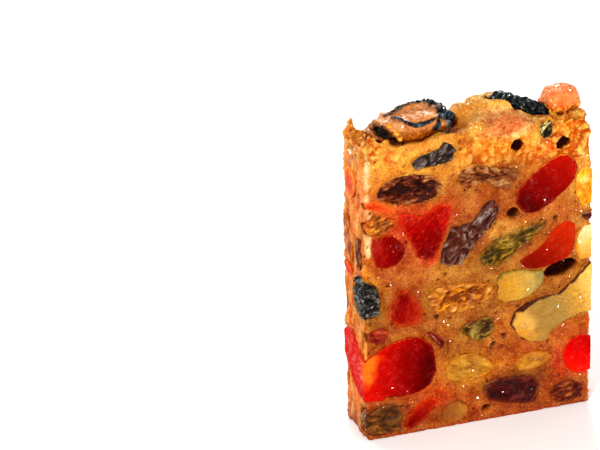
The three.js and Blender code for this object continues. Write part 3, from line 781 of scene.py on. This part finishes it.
# Where the swirled prune's skin is bare: two arcs, the tail of the front one, and the knob where they meet.
SWIRL_BACK_ARC = (
    (-20.5, 1.0, 81.8),
    (-18.1, 2.6, 81.9),
    (-15, 3.5, 82.2),
    (-11.5, 4.1, 82.6),
    (-8.4, 4.1, 82.6),
)
SWIRL_FRONT_ARC = (
    (-19.6, -0.8, 81.8),
    (-17.4, -4.0, 81.5),
    (-14.8, -4.4, 80.6),
    (-12.2, -4.3, 81),
    (-9.5, -3.6, 81.2),
)
SWIRL_TAIL = ((-9.0, -4.2, 80.4), (-10.2, -4.8, 79.2))
SWIRL_KNOB = ((-7.4, 3.4, 82.3), (-6.2, 0.4, 82), (-6.4, -2.2, 81.4))
SWIRL_STROKES = ((SWIRL_BACK_ARC, 0.6), (SWIRL_FRONT_ARC, 0.55), (SWIRL_TAIL, 0.7), (SWIRL_KNOB, 2.8))
SWIRL_CLEFT = (
    (-25, 0.2, 80.8),
    (-23.8, -2.5, 80.4),
    (-22.4, -4.3, 79.3),
    (-20.8, -5.3, 77.9),
    (-19.4, -5.4, 76.6),
)
SWIRL_CRUMBS = ((-21.4, -2.6, 81.2), (-20.8, -4.0, 80.4), (-19.8, -5.0, 79.2), (-19.0, -5.4, 77.8))
TOPPING_SMOOTHING = 12  # smoothing passes: what bakes on the crust is rounder than the cut fruit
SWIRL_ISLAND = (-13.8, 0.0, 5.6, 2.6)  # x and y of the sunk middle and its half sizes
STRIP_RIM = ((5.4, 1.2, 83), (7.6, 3.0, 82.8), (9.6, 3.4, 82.4))
STRIP_CRUST = ((12.5, -2.4, 80), (15.5, -2.8, 79), (18.1, -2.8, 77.8))


def dress_swirl(points, seed):
    """The swirled prune: raised arcs of skin round a sunk middle, and a cleft with crumbs at its left."""
    strokes = [stroke(points, path, width, seed + step) for step, (path, width) in enumerate(SWIRL_STROKES)]
    skin = np.max(strokes, 0)
    cleft = stroke(points, SWIRL_CLEFT, 1.3, seed)
    scattered = smoothstep(-0.1, 0.15, drift(points, 1.1, 7))
    crumbs = stroke(points, SWIRL_CRUMBS, 0.7, seed + 9) * (1 - skin) * scattered
    x, y, half_x, half_y = SWIRL_ISLAND
    reach = np.hypot((points[:, 0] / MM - x) / half_x, (points[:, 1] / MM - y) / half_y)
    island = smoothstep(1.1, 0.7, reach)
    island *= smoothstep(79, 80.5, points[:, 2] / MM) * (1 - skin)
    rise = 0.4 * skin - 1.6 * cleft * (1 - crumbs) + 0.5 * crumbs - 0.7 * island
    return skin, cleft * (1 - crumbs), crumbs, rise


def dress_strip(points, seed):
    """The strip of prune: bare but for a rim of batter at its upper end and a burnt lip of crust below."""
    rim = stroke(points, STRIP_RIM, 0.7, seed)
    lip = stroke(points, STRIP_CRUST, 0.5, seed + 1)
    return 1 - np.maximum(rim, lip), np.zeros(len(points)), np.zeros(len(points)), -0.2 * lip


def dress_apricot(points, seed):
    bare = smoothstep(78.2, 79.6, points[:, 2] / MM + drift(points, 2.0, seed))
    return bare, np.zeros(len(points)), np.zeros(len(points)), np.zeros(len(points))


DRESSINGS = {"prune_swirl": dress_swirl, "prune_strip": dress_strip, "apricot_lump": dress_apricot}


def topping_piece(look, seed, settings):
    centre = sum(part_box(look.node), Vector()) / 2
    piece = fruit_body(look.node, TOPPING_SMOOTHING, settings)
    points = coordinates(piece)
    skin, cleft, crumbs, rise = DRESSINGS[look.node](points, seed)
    lumps = 0.5 * drift(points, 2.6, seed) + 0.25 * drift(points, 1.0, seed)
    wrinkles = np.abs(np.sin(math.pi * (1.6 * drift(points, 2.4, seed + 3) + 0.5 * drift(points, 0.9, seed))))
    knob = smoothstep(-10, -8.5, points[:, 0] / MM) if look.node == "prune_swirl" else 0.3
    folds = (0.35 + 0.9 * knob) * skin * (wrinkles - 0.6)
    if look.node == "apricot_lump":
        crumbly = 1.2 * (1 - skin) * (0.3 - np.abs(drift(points, 1.2, seed + 5)))
        lumps = lumps * (0.4 + 0.8 * (1 - skin)) + crumbly
        folds *= 0
    push_in(piece, -(rise + lumps + folds))
    store(piece, "relief", wrinkles)
    store(piece, "skin", skin)
    store(piece, "cleft", cleft)
    store(piece, "crumbs", crumbs)
    if look.node == "apricot_lump":
        store(piece, "under", 1 - skin)
        finish_piece(piece, look.node, look.slot, baked_apricot(look, centre))
    else:
        store(piece, "under", smoothstep(80.4, 78.8, points[:, 2] / MM + 0.8 * drift(points, 3.0, seed)))
        finish_piece(piece, look.node, look.slot, baked_prune(look, centre))


# ---- the cake ----

# The crumb's tones: butter-gold where it is torn, tan and honey where it is cut, darker where it is baked.
TONES = {
    "gold": "fcb034",
    "amber": "ec7008",
    "straw": "fccc68",
    "tan": "b06018",
    "honey": "ba5002",
    "blush": "b6541a",
    "peach": "c05a18",
    "olive": "a47018",
    "rust": "a44002",
    "umber": "743606",
    "cream": "dca448",
    "ember": "d83408",
}
# The tones by height above the base.
LAYERS = (
    (0, "rust"),
    (6, "honey"),
    (20, "honey"),
    (34, "olive"),
    (45, "tan"),
    (62, "tan"),
    (69, "gold"),
    (79, "gold"),
    (82, "straw"),
)
# Broad fields of crumb that differ from their layer. Each runs through the slice and fades over its reach.
Field = namedtuple("Field", "tone x z reach_x reach_z")
FIELDS = (
    Field("gold", -19, 72, 9, 6),
    Field("straw", -21, 72, 10, 5),
    Field("straw", -14, 66, 4, 2),
    Field("amber", -26, 62, 4, 7),
    Field("straw", -5, 77.5, 6, 1.5),
    Field("rust", -2, 72.6, 1.2, 1.6),
    Field("tan", 22, 35.5, 4, 1.5),
    Field("tan", 3, 67.5, 12, 2.5),
    Field("amber", 18, 71, 4, 2.5),
    Field("gold", 24, 75, 5, 3),
    Field("gold", 3, 74, 9, 3),
    Field("cream", 28.5, 73.5, 2.5, 4),
    Field("straw", 28, 60, 4, 9),
    Field("blush", -1, 57, 7, 4),
    Field("cream", 9, 50, 4, 2),
    Field("cream", -7, 42.5, 6, 2.5),
    Field("umber", -19, 4, 8, 2),
    Field("umber", 20, 12, 7, 2),
    Field("rust", 12, 46, 3, 2),
    Field("peach", 20, 53, 5, 3),
    Field("ember", -19, 55, 5, 4.5),
    Field("ember", -17, 58.5, 5, 3),
    Field("ember", -13, 51, 2.5, 3),
    Field("straw", 7, 50.5, 4, 2),
    Field("cream", -28, 77, 3, 4),
    Field("straw", 8, 75.2, 8, 1.5),
    Field("ember", 21.5, 14, 3, 4),
    Field("ember", -10, 9, 3, 3),
    Field("ember", -26, 58, 3, 2.5),
    Field("blush", -18, 43, 6, 3.5),
    Field("gold", -28, 44, 2, 6),
    Field("gold", -2, 14, 7, 3),
    Field("gold", 4, 24, 4, 3),
    Field("cream", 15, 43.5, 4, 2),
    Field("straw", -14, 51, 3, 3),
    Field("olive", -2, 42, 6, 2.5),
    Field("olive", -4, 20, 6, 3.5),
    Field("rust", 7, 22, 4, 5),
    Field("peach", 22, 20, 3, 5),
    Field("umber", 8, 10, 9, 2),
)
# Where the crumb is torn into crags: the middle and half sizes of an oval in x and z, and how strongly.
Tear = namedtuple("Tear", "x z half_x half_z strength")
TEARS = (
    Tear(25, 73, 8, 8, 1.0),
    Tear(15, 69.5, 7, 3, 0.8),
    Tear(-28.5, 78, 4, 5, 1.0),
    Tear(-24, 74.5, 6, 2, 0.6),
    Tear(4, 72.5, 12, 5, 0.65),
    Tear(12, 79, 12, 3, 0.5),
    Tear(-15, 69, 10, 5, 0.12),
)
# Small holes that the knife has opened, in x and z on the front.
PITS = (
    (20.3, 51.8),
    (2.1, 26.3),
    (4.0, 20.6),
    (-8.6, 33.0),
    (-3.0, 63.5),
    (6.6, 22.4),
    (12.4, 21.0),
    (-11.0, 30.4),
)
# The crags and the grain of the crumb: the share, size in mm and seed of each of their noises.
RAGGED = ((1.0, 2.2, 2), (0.6, 1.0, 3), (0.4, 0.6, 4))
GRAIN = ((0.2, 4.0, 5), (0.5, 1.5, 6), (0.3, 0.8, 7))
FIELD_WARP = 2.2  # mm that the fields' edges wander
PATCH = (7.8, 78.2, 5.6, 2.1)  # x and z of the smooth pink patch on the dome's front, and its half sizes
# The smooth pale lip of crust under the swirled prune, and a painted highlight along the upright edge of the
# slice at the left.
LIP_LINE = (
    (-20, -7.2, 75.6),
    (-17, -6.8, 75.6),
    (-13, -6.6, 76),
    (-9, -6.6, 76.4),
    (-6, -6.6, 76.8),
    (-3, -6.6, 77.8),
    (-1, -6.6, 78.8),
    (2, -6.8, 79.4),
)
EDGE_HIGHLIGHT = ((-28.6, -7.5, 50), (-28.4, -7.5, 60), (-28.9, -7.5, 70), (-28.9, -7.2, 75))
FRINGE = (7.8, 78.0, 7.6, 3.4)  # x and z of the cream rim round that patch, and its half sizes
# where cherry juice ran, each an oval's x, z and half sizes
JUICE = ((-19.5, 58, 4.5, 3.5), (-12.5, 47, 3, 2.5), (-21, 53, 3, 3), (22, 13, 2.5, 4.5))
WET_CORNER = (-28, 72.5, 3, 4.5)  # x and z of the syrupy corner at the upper left, and its half sizes
VALLEY = (-3.4, 77.0, 2.8, 2.8)  # x and z of the amber valley beside the dome, and its half sizes

ON_THE_CRUST = [look.node for look in TOPPINGS]
CRUMB_SMOOTHING = 3  # smoothing passes that take the steps out of the crumb's new mesh
CUTTER_MESH = 0.7  # mm between the points of a pocket's cutter
CUTTER_REACH = 2.0  # mm that it reaches out through the slice's faces
PLUG_GROWTH = 0.4  # mm that each solid grows by, so that it fills its pocket before the cake is remeshed
PLUG_SKIN = 0.3  # mm that such a filling stays behind the slice's faces
POCKET_OVERLAP = 0.1  # mm that a pocket is smaller than its fruit, so that no gap shows
POCKET_MOUTH = 1.8  # mm behind the slice's faces, from where a pocket's cutter reaches out through them


def within(points, oval):
    """1 in the middle of an oval on the slice's front, given by its x, z and half sizes, and 0 outside."""
    x, z, half_x, half_z = oval
    return smoothstep(1.25, 0.6, np.hypot((points[:, 0] / MM - x) / half_x, (points[:, 2] / MM - z) / half_z))


def crumb_tone(points):
    """The crumb's own colour at each point: its layer's, blended with the fields round it."""
    x = points[:, 0] / MM + FIELD_WARP * drift(points, 5.0, 3)
    z = points[:, 2] / MM + FIELD_WARP * drift(points, 5.0, 4)
    heights = [height for height, _ in LAYERS]
    layers = np.array([linear(TONES[tone], alpha=False) for _, tone in LAYERS])
    colour = np.stack([np.interp(z, heights, layers[:, channel]) for channel in range(3)], axis=1)
    total = np.full(len(points), 0.28)
    colour *= total[:, None]
    for field in FIELDS:
        weight = np.exp(-(((x - field.x) / field.reach_x) ** 2) - ((z - field.z) / field.reach_z) ** 2)
        total += weight
        colour += np.outer(weight, linear(TONES[field.tone], alpha=False))
    colour /= total[:, None]
    low = smoothstep(72, 58, points[:, 2] / MM)
    pale = smoothstep(0.0, 0.5, drift(points, 4.5, 20))
    dark = low * smoothstep(0.05, 0.5, drift(points, 3.4, 21))
    return washed(colour, ((TONES["straw"], 0.16 * pale), (TONES["rust"], 0.5 * dark)))


def washed(colour, washes):
    """Lays washes over a colour in turn, each a shade and its share at each point."""
    for shade, share in washes:
        colour = colour + share[:, None] * (linear(shade, alpha=False) - colour)
    return colour


def embedded_pieces():
    """The fruits and nuts that sit in a pocket of the cake."""
    pieces = [piece for piece in bpy.context.scene.objects if piece.name.endswith("_piece")]
    return [piece for piece in pieces if piece["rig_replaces"][0] not in ON_THE_CRUST]


def stained(points, colour):
    """Adds the juice, oil or dark syrup that the nearest fruit has given to the crumb."""
    looks = {look.node: look for look in CHERRIES + RAISINS + SULTANAS + PEELS + CITRONS + NUTS}
    nodes = [piece["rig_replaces"][0] for piece in embedded_pieces()]
    clouds = [coordinates(bpy.data.objects[f"{node}_piece"])[::5] for node in nodes]
    owner = np.repeat(np.arange(len(nodes)), [len(cloud) for cloud in clouds])
    tree = cloud_tree(np.concatenate(clouds))
    found = [tree.find(point)[1:] for point in points]
    owner = owner[[index for index, _ in found]]
    distance = np.array([length for _, length in found]) / MM + 0.5 * drift(points, 1.2, 8)
    for number, node in enumerate(nodes):
        shade, reach, share = stain_of(looks[node])
        near = owner == number
        share = share * np.exp(-np.maximum(distance[near], 0) / reach)
        colour[near] = washed(colour[near], [(shade, share)])
    return colour


def grow(piece, amount):
    apply_modifier(piece, "DISPLACE", strength=amount * MM, mid_level=0.0)


def filled_cake(settings):
    """The cake's solid with its pockets filled, as one even mesh."""
    cake = copy_of_node("cake", "cake_crumb")
    plugs = []
    for node in frame["nodes"]:
        if node == "cake" or node in ON_THE_CRUST:
            continue
        plug = copy_of_node(node, "plug")
        grow(plug, PLUG_GROWTH)
        set_coordinates(plug, keep_inside(coordinates(plug), PLUG_SKIN))
        plugs.append(plug)
    activate(cake)
    for plug in plugs:
        plug.select_set(True)
    bpy.ops.object.join()
    apply_modifier(cake, "REMESH", mode="VOXEL", voxel_size=settings.mesh_size)
    apply_modifier(cake, "SMOOTH", factor=0.5, iterations=CRUMB_SMOOTHING)
    return cake


def rough_up(cake, settings):
    """Gives the cut crumb its low grain, and tears it into grains and crags under the crust."""
    points = coordinates(cake)
    calm = np.maximum(within(points, PATCH), within(points, VALLEY))
    strayed = points + 1.5 * MM * drift(points, 3.0, 1)[:, None]
    torn = np.max([tear.strength * within(strayed, tear[:4]) for tear in TEARS], 0) * (1 - calm)
    ragged = sum(share * np.abs(drift(points, size, seed)) for share, size, seed in RAGGED)
    grain = sum(share * drift(points, size, seed) for share, size, seed in GRAIN)
    side = smoothstep(1.3, 0.5, HALF_WIDTH - np.abs(points[:, 0]) / MM)
    ripples = 0.5 + 1.3 * drift(points / (1, 1, 2.2), 1.8, 12) + 0.7 * drift(points, 0.8, 13)
    front = smoothstep(HALF_THICKNESS - 1.5, HALF_THICKNESS, -points[:, 1] / MM)
    holes = front * smoothstep(0.56, 0.72, drift(points, 1.0, 11))
    for x, z in PITS:
        spot = np.hypot(points[:, 0] / MM - x, points[:, 2] / MM - z) + 0.5 * drift(points, 0.8, 14)
        holes = np.maximum(holes, smoothstep(0.8, 0.35, spot))
    depth = settings.crumble / MM * (grain + 0.4) * (1 - calm) + settings.tear / MM * (0.75 - ragged) * torn
    push_in(cake, depth + 0.5 * side * ripples + 0.9 * holes, -0.1)
    return torn, np.clip(ragged / 0.9, 0, 1), holes


def pocket_cutter(piece):
    """A coarse, slightly smaller copy of a fruit that reaches out through the slice's faces."""
    mesh = piece.data.copy()
    mesh.materials.clear()
    cutter = bpy.data.objects.new("pocket_cutter", mesh)
    bpy.context.scene.collection.objects.link(cutter)
    apply_modifier(cutter, "REMESH", mode="VOXEL", voxel_size=CUTTER_MESH * MM)
    apply_modifier(cutter, "SMOOTH", factor=0.5, iterations=1)
    grow(cutter, -POCKET_OVERLAP)
    points = coordinates(cutter)
    for axis, reach in ((0, HALF_WIDTH), (1, HALF_THICKNESS)):
        outer = np.abs(points[:, axis]) > (reach - POCKET_MOUTH) * MM
        points[outer, axis] += np.sign(points[outer, axis]) * CUTTER_REACH * MM
    set_coordinates(cutter, points)
    return cutter


def cut_pockets(cake):
    cutters = bpy.data.collections.new("pocket_cutters")
    bpy.context.scene.collection.children.link(cutters)
    for piece in embedded_pieces():
        cutter = pocket_cutter(piece)
        bpy.context.scene.collection.objects.unlink(cutter)
        cutters.objects.link(cutter)
    settings = {"operation": "DIFFERENCE", "solver": "MANIFOLD", "operand_type": "COLLECTION"}
    apply_modifier(cake, "BOOLEAN", collection=cutters, **settings)
    for cutter in list(cutters.objects):
        bpy.data.objects.remove(cutter)
    bpy.data.collections.remove(cutters)
    slots = cake.data.attributes.get("material_index")
    if slots:
        cake.data.attributes.remove(slots)


def colour_cake(cake):
    """Stores the crumb's colour and how glazed or side-baked it is at each point, and where it is sunk behind
    the faces, which its material paints dark as shade.
    """
    points = coordinates(cake)
    height = points[:, 2] / MM
    crust = smoothstep(0.1, 0.7, normals(cake)[:, 2]) * smoothstep(75, 78, height)
    side = smoothstep(1.3, 0.3, HALF_WIDTH - np.abs(points[:, 0]) / MM)
    base = smoothstep(1.1, 0.3, height + 0.5 * drift(points, 2.0, 15))
    front = smoothstep(3, -1, points[:, 1] / MM)
    patch = within(points + 0.8 * MM * drift(points, 1.4, 18)[:, None], PATCH)
    veins = smoothstep(0.12, 0.02, np.abs(drift(points / (1.6, 1, 0.7), 1.6, 19)))
    strayed = points + 1.2 * MM * drift(points, 2.0, 22)[:, None]
    baked = (
        (TONES["straw"], 0.5 * crust),
        ("f8a830", 0.8 * side * smoothstep(0, 10, height)),
        ("c04008", 0.8 * base),
    )
    marks = (
        *(("d01800", 0.6 * within(strayed, oval)) for oval in JUICE),
        ("fcdc98", 0.9 * within(points, FRINGE) * front),
        ("f4945c", 0.9 * patch * front),
        ("b44c10", 0.45 * within(points, PATCH) * veins * front),
        ("c0720c", 0.8 * within(points, VALLEY)),
        # painted highlight along the slice's left front edge
        ("fce8b8", 0.95 * stroke(points, EDGE_HIGHLIGHT, 0.8, 16, 0.6)),
        ("fcc05c", 0.9 * stroke(points, LIP_LINE, 1.2, 17, 0.8)),
    )
    store(cake, "tint", washed(stained(points, washed(crumb_tone(points), baked)), marks))
    store(cake, "side", side)
    store(cake, "glaze", np.max([0.8 * side, 0.6 * crust, within(points, WET_CORNER)], 0))
    # where the crumb lies sunk behind the faces, which the material paints dark as shade
    sunk = smoothstep(0.8, 1.9, depth_behind_faces(points))
    store(cake, "recess_shade", sunk * smoothstep(76, 74, height) * smoothstep(0.3, 1.2, height))


# ---- settings, operators and panel ----


class CrumbSettings(bpy.types.PropertyGroup):
    mesh_size: FloatProperty(
        name="Mesh size", description="Size of the crumb's mesh faces", default=0.4 * MM, unit="LENGTH"
    )
    crumble: FloatProperty(
        name="Crumble", description="Height of the grains on the cut faces", default=0.38 * MM, unit="LENGTH"
    )
    tear: FloatProperty(
        name="Tear",
        description="Depth to which the crumb is torn under the crust",
        default=1.2 * MM,
        unit="LENGTH",
    )
    gloss: FloatProperty(
        name="Gloss", description="Strength of the moist shine", default=0.12, min=0, max=1, subtype="FACTOR"
    )


class FruitSettings(bpy.types.PropertyGroup):
    mesh_size: FloatProperty(
        name="Mesh size", description="Size of the fruits' mesh faces", default=0.26 * MM, unit="LENGTH"
    )
    rounding: IntProperty(
        name="Rounding", description="Smoothing passes that round the rims of the cut fruit", default=4, min=1
    )
    flesh_gloss: FloatProperty(
        name="Flesh gloss",
        description="Shine of cut glace fruit",
        default=0.04,
        min=0,
        max=1,
        subtype="FACTOR",
    )
    skin_gloss: FloatProperty(
        name="Skin gloss",
        description="Shine of syruped dried fruit",
        default=0.15,
        min=0,
        max=1,
        subtype="FACTOR",
    )


class StageSettings(bpy.types.PropertyGroup):
    azimuth: FloatProperty(
        name="Azimuth",
        description="Where the camera stands round the slice",
        default=math.radians(-18.38),
        subtype="ANGLE",
    )
    elevation: FloatProperty(
        name="Elevation",
        description="How far the camera looks down",
        default=math.radians(24),
        subtype="ANGLE",
    )
    roll: FloatProperty(
        name="Roll",
        description="How far the camera leans to one side",
        default=math.radians(-1.46),
        subtype="ANGLE",
    )
    distance: FloatProperty(
        name="Distance", description="From the camera to its target", default=793.48 * MM, unit="LENGTH"
    )
    target: FloatVectorProperty(
        name="Target",
        description="The point on the camera's axis",
        default=(-43.12 * MM, 0, 57.58 * MM),
        subtype="XYZ",
    )
    lens: FloatProperty(name="Lens", description="Focal length in mm", default=198.78)
    floor: FloatVectorProperty(
        name="Floor", description="Colour of the floor", default=linear("fafafa")[:3], subtype="COLOR"
    )
    key: FloatProperty(name="Key light", description="Power of the key light", default=3.6, unit="POWER")
    fill: FloatProperty(name="Fill light", description="Power of the fill light", default=0.6, unit="POWER")
    wash: FloatProperty(
        name="Floor wash", description="Power of the light on the floor behind", default=9.0, unit="POWER"
    )
    sparkle: FloatProperty(
        name="Sparkle light",
        description="Power of each small lamp that makes wet points glint",
        default=3.0,
        unit="POWER",
    )
    sky: FloatProperty(name="Sky", description="Brightness of the white surroundings", default=0.36)


class SliceSettings(bpy.types.PropertyGroup):
    crumb: PointerProperty(type=CrumbSettings)
    fruit: PointerProperty(type=FruitSettings)
    stage: PointerProperty(type=StageSettings)


class CAKE_OT_cherries(bpy.types.Operator):
    """Models the cut glace cherries"""

    bl_idname = "fruit_cake.cherries"
    bl_label = "Glace cherries"

    def execute(self, context):
        for seed, look in enumerate(CHERRIES):
            cherry_piece(look, seed, context.scene.fruit_cake.fruit)
        return {"FINISHED"}


class CAKE_OT_raisins(bpy.types.Operator):
    """Models the dark raisins"""

    bl_idname = "fruit_cake.raisins"
    bl_label = "Raisins"

    def execute(self, context):
        for seed, look in enumerate(RAISINS, 20):
            dried_piece(look, seed, context.scene.fruit_cake.fruit, "raisin")
        return {"FINISHED"}


class CAKE_OT_sultanas(bpy.types.Operator):
    """Models the golden sultanas"""

    bl_idname = "fruit_cake.sultanas"
    bl_label = "Sultanas"

    def execute(self, context):
        for seed, look in enumerate(SULTANAS, 40):
            dried_piece(look, seed, context.scene.fruit_cake.fruit, "sultana")
        return {"FINISHED"}


class CAKE_OT_peels(bpy.types.Operator):
    """Models the candied peel and citron"""

    bl_idname = "fruit_cake.peels"
    bl_label = "Peel and citron"

    def execute(self, context):
        for seed, look in enumerate(PEELS + CITRONS, 60):
            slot = "citron" if look in CITRONS else "peel"
            dried_piece(look, seed, context.scene.fruit_cake.fruit, slot)
        return {"FINISHED"}


class CAKE_OT_nuts(bpy.types.Operator):
    """Models the walnuts and other nuts"""

    bl_idname = "fruit_cake.nuts"
    bl_label = "Nuts"

    def execute(self, context):
        for seed, look in enumerate(NUTS, 80):
            nut_piece(look, seed, context.scene.fruit_cake.fruit)
        return {"FINISHED"}


class CAKE_OT_toppings(bpy.types.Operator):
    """Models the prunes and the apricot baked into the crust"""

    bl_idname = "fruit_cake.toppings"
    bl_label = "Fruit on the crust"

    def execute(self, context):
        for seed, look in enumerate(TOPPINGS, 90):
            topping_piece(look, seed, context.scene.fruit_cake.fruit)
        return {"FINISHED"}


class CAKE_OT_crumb(bpy.types.Operator):
    """Models the cake: its cut crumb, torn crust and the pockets round the fruits"""

    bl_idname = "fruit_cake.crumb"
    bl_label = "Crumb and crust"

    def execute(self, context):
        settings = context.scene.fruit_cake.crumb
        cake = filled_cake(settings)
        torn, relief, holes = rough_up(cake, settings)
        store(cake, "holes", holes)
        store(cake, "torn", torn)
        store(cake, "relief", relief)
        cut_pockets(cake)
        colour_cake(cake)
        finish_piece(cake, "cake", "cake", crumb_material(settings))
        return {"FINISHED"}


class CAKE_OT_stage(bpy.types.Operator):
    """Sets the floor, the lights and the camera"""

    bl_idname = "fruit_cake.stage"
    bl_label = "Stage"

    def execute(self, context):
        settings = context.scene.fruit_cake.stage
        bpy.ops.mesh.primitive_plane_add(size=4.0, location=(0, 0, 0))
        floor = context.object
        floor.name = "floor"
        material, _, shader = new_material("matt_white_paper")
        shader.inputs["Base Color"].default_value = (*settings.floor, 1)
        shader.inputs["Roughness"].default_value = 0.9
        shader.inputs["Specular IOR Level"].default_value = 0.1
        floor.data.materials.append(material)
        add_light("key_softbox", (-0.42, -0.50, 0.62), 0.22, settings.key)
        add_light("fill_softbox", (0.55, -0.55, 0.35), 0.5, settings.fill)
        add_light("floor_wash", (0.3, 1.3, 1.0), 0.8, settings.wash, aim=(0.3, 1.3, 0))
        add_light("sparkle_front", (0.30, -0.95, 0.10), 0.08, settings.sparkle)
        add_light("sparkle_left", (-0.40, 0.85, 0.14), 0.08, settings.sparkle)
        add_light("sparkle_back", (0.30, 0.90, 0.50), 0.08, settings.sparkle)
        world = bpy.data.worlds.new("white_studio")
        world.use_nodes = True
        world.node_tree.nodes["Background"].inputs["Color"].default_value = (1, 1, 1, 1)
        world.node_tree.nodes["Background"].inputs["Strength"].default_value = settings.sky
        context.scene.world = world
        add_camera(settings)
        context.scene.view_settings.view_transform = "Standard"
        context.scene.view_settings.look = "High Contrast"
        return {"FINISHED"}


def add_light(name, location, size, power, aim=(0, 0, 40 * MM)):
    data = bpy.data.lights.new(name, "AREA")
    data.shape = "DISK"
    data.size = size
    data.energy = power
    light = bpy.data.objects.new(name, data)
    light.location = location
    light.rotation_euler = (Vector(aim) - light.location).to_track_quat("-Z", "Y").to_euler()
    bpy.context.scene.collection.objects.link(light)


def add_camera(settings):
    data = bpy.data.cameras.new("camera")
    data.sensor_width = 36
    data.lens = settings.lens
    camera = bpy.data.objects.new("camera", data)
    azimuth, elevation, roll = settings.azimuth, settings.elevation, settings.roll
    level_reach = math.cos(elevation)
    back = Vector((math.sin(azimuth) * level_reach, -math.cos(azimuth) * level_reach, math.sin(elevation)))
    level = Vector((math.cos(azimuth), math.sin(azimuth), 0))
    upright = back.cross(level)
    right = level * math.cos(roll) + upright * math.sin(roll)
    up = upright * math.cos(roll) - level * math.sin(roll)
    turned = Matrix((right, up, back)).transposed().to_4x4()
    camera.matrix_world = Matrix.Translation(Vector(settings.target) + back * settings.distance) @ turned
    bpy.context.scene.collection.objects.link(camera)
    bpy.context.scene.camera = camera


OPERATORS = (
    CAKE_OT_stage,
    CAKE_OT_cherries,
    CAKE_OT_raisins,
    CAKE_OT_sultanas,
    CAKE_OT_peels,
    CAKE_OT_nuts,
    CAKE_OT_toppings,
    CAKE_OT_crumb,
)


class CAKE_PT_slice(bpy.types.Panel):
    """Lists the slice's operators"""

    bl_idname = "CAKE_PT_slice"
    bl_label = "Fruit cake slice"
    bl_space_type = "VIEW_3D"
    bl_region_type = "UI"
    bl_category = "Fruit cake"

    def draw(self, context):
        for operator in OPERATORS:
            self.layout.operator(operator.bl_idname)


CLASSES = (CrumbSettings, FruitSettings, StageSettings, SliceSettings, *OPERATORS, CAKE_PT_slice)


def register():
    for cls in CLASSES:
        bpy.utils.register_class(cls)
    bpy.types.Scene.fruit_cake = PointerProperty(type=SliceSettings)


def unregister():
    del bpy.types.Scene.fruit_cake
    for cls in reversed(CLASSES):
        bpy.utils.unregister_class(cls)


def main():
    register()
    bpy.ops.fruit_cake.stage()
    bpy.ops.fruit_cake.cherries()
    bpy.ops.fruit_cake.raisins()
    bpy.ops.fruit_cake.sultanas()
    bpy.ops.fruit_cake.peels()
    bpy.ops.fruit_cake.nuts()
    bpy.ops.fruit_cake.toppings()
    bpy.ops.fruit_cake.crumb()


if __name__ == "__main__":
    main()
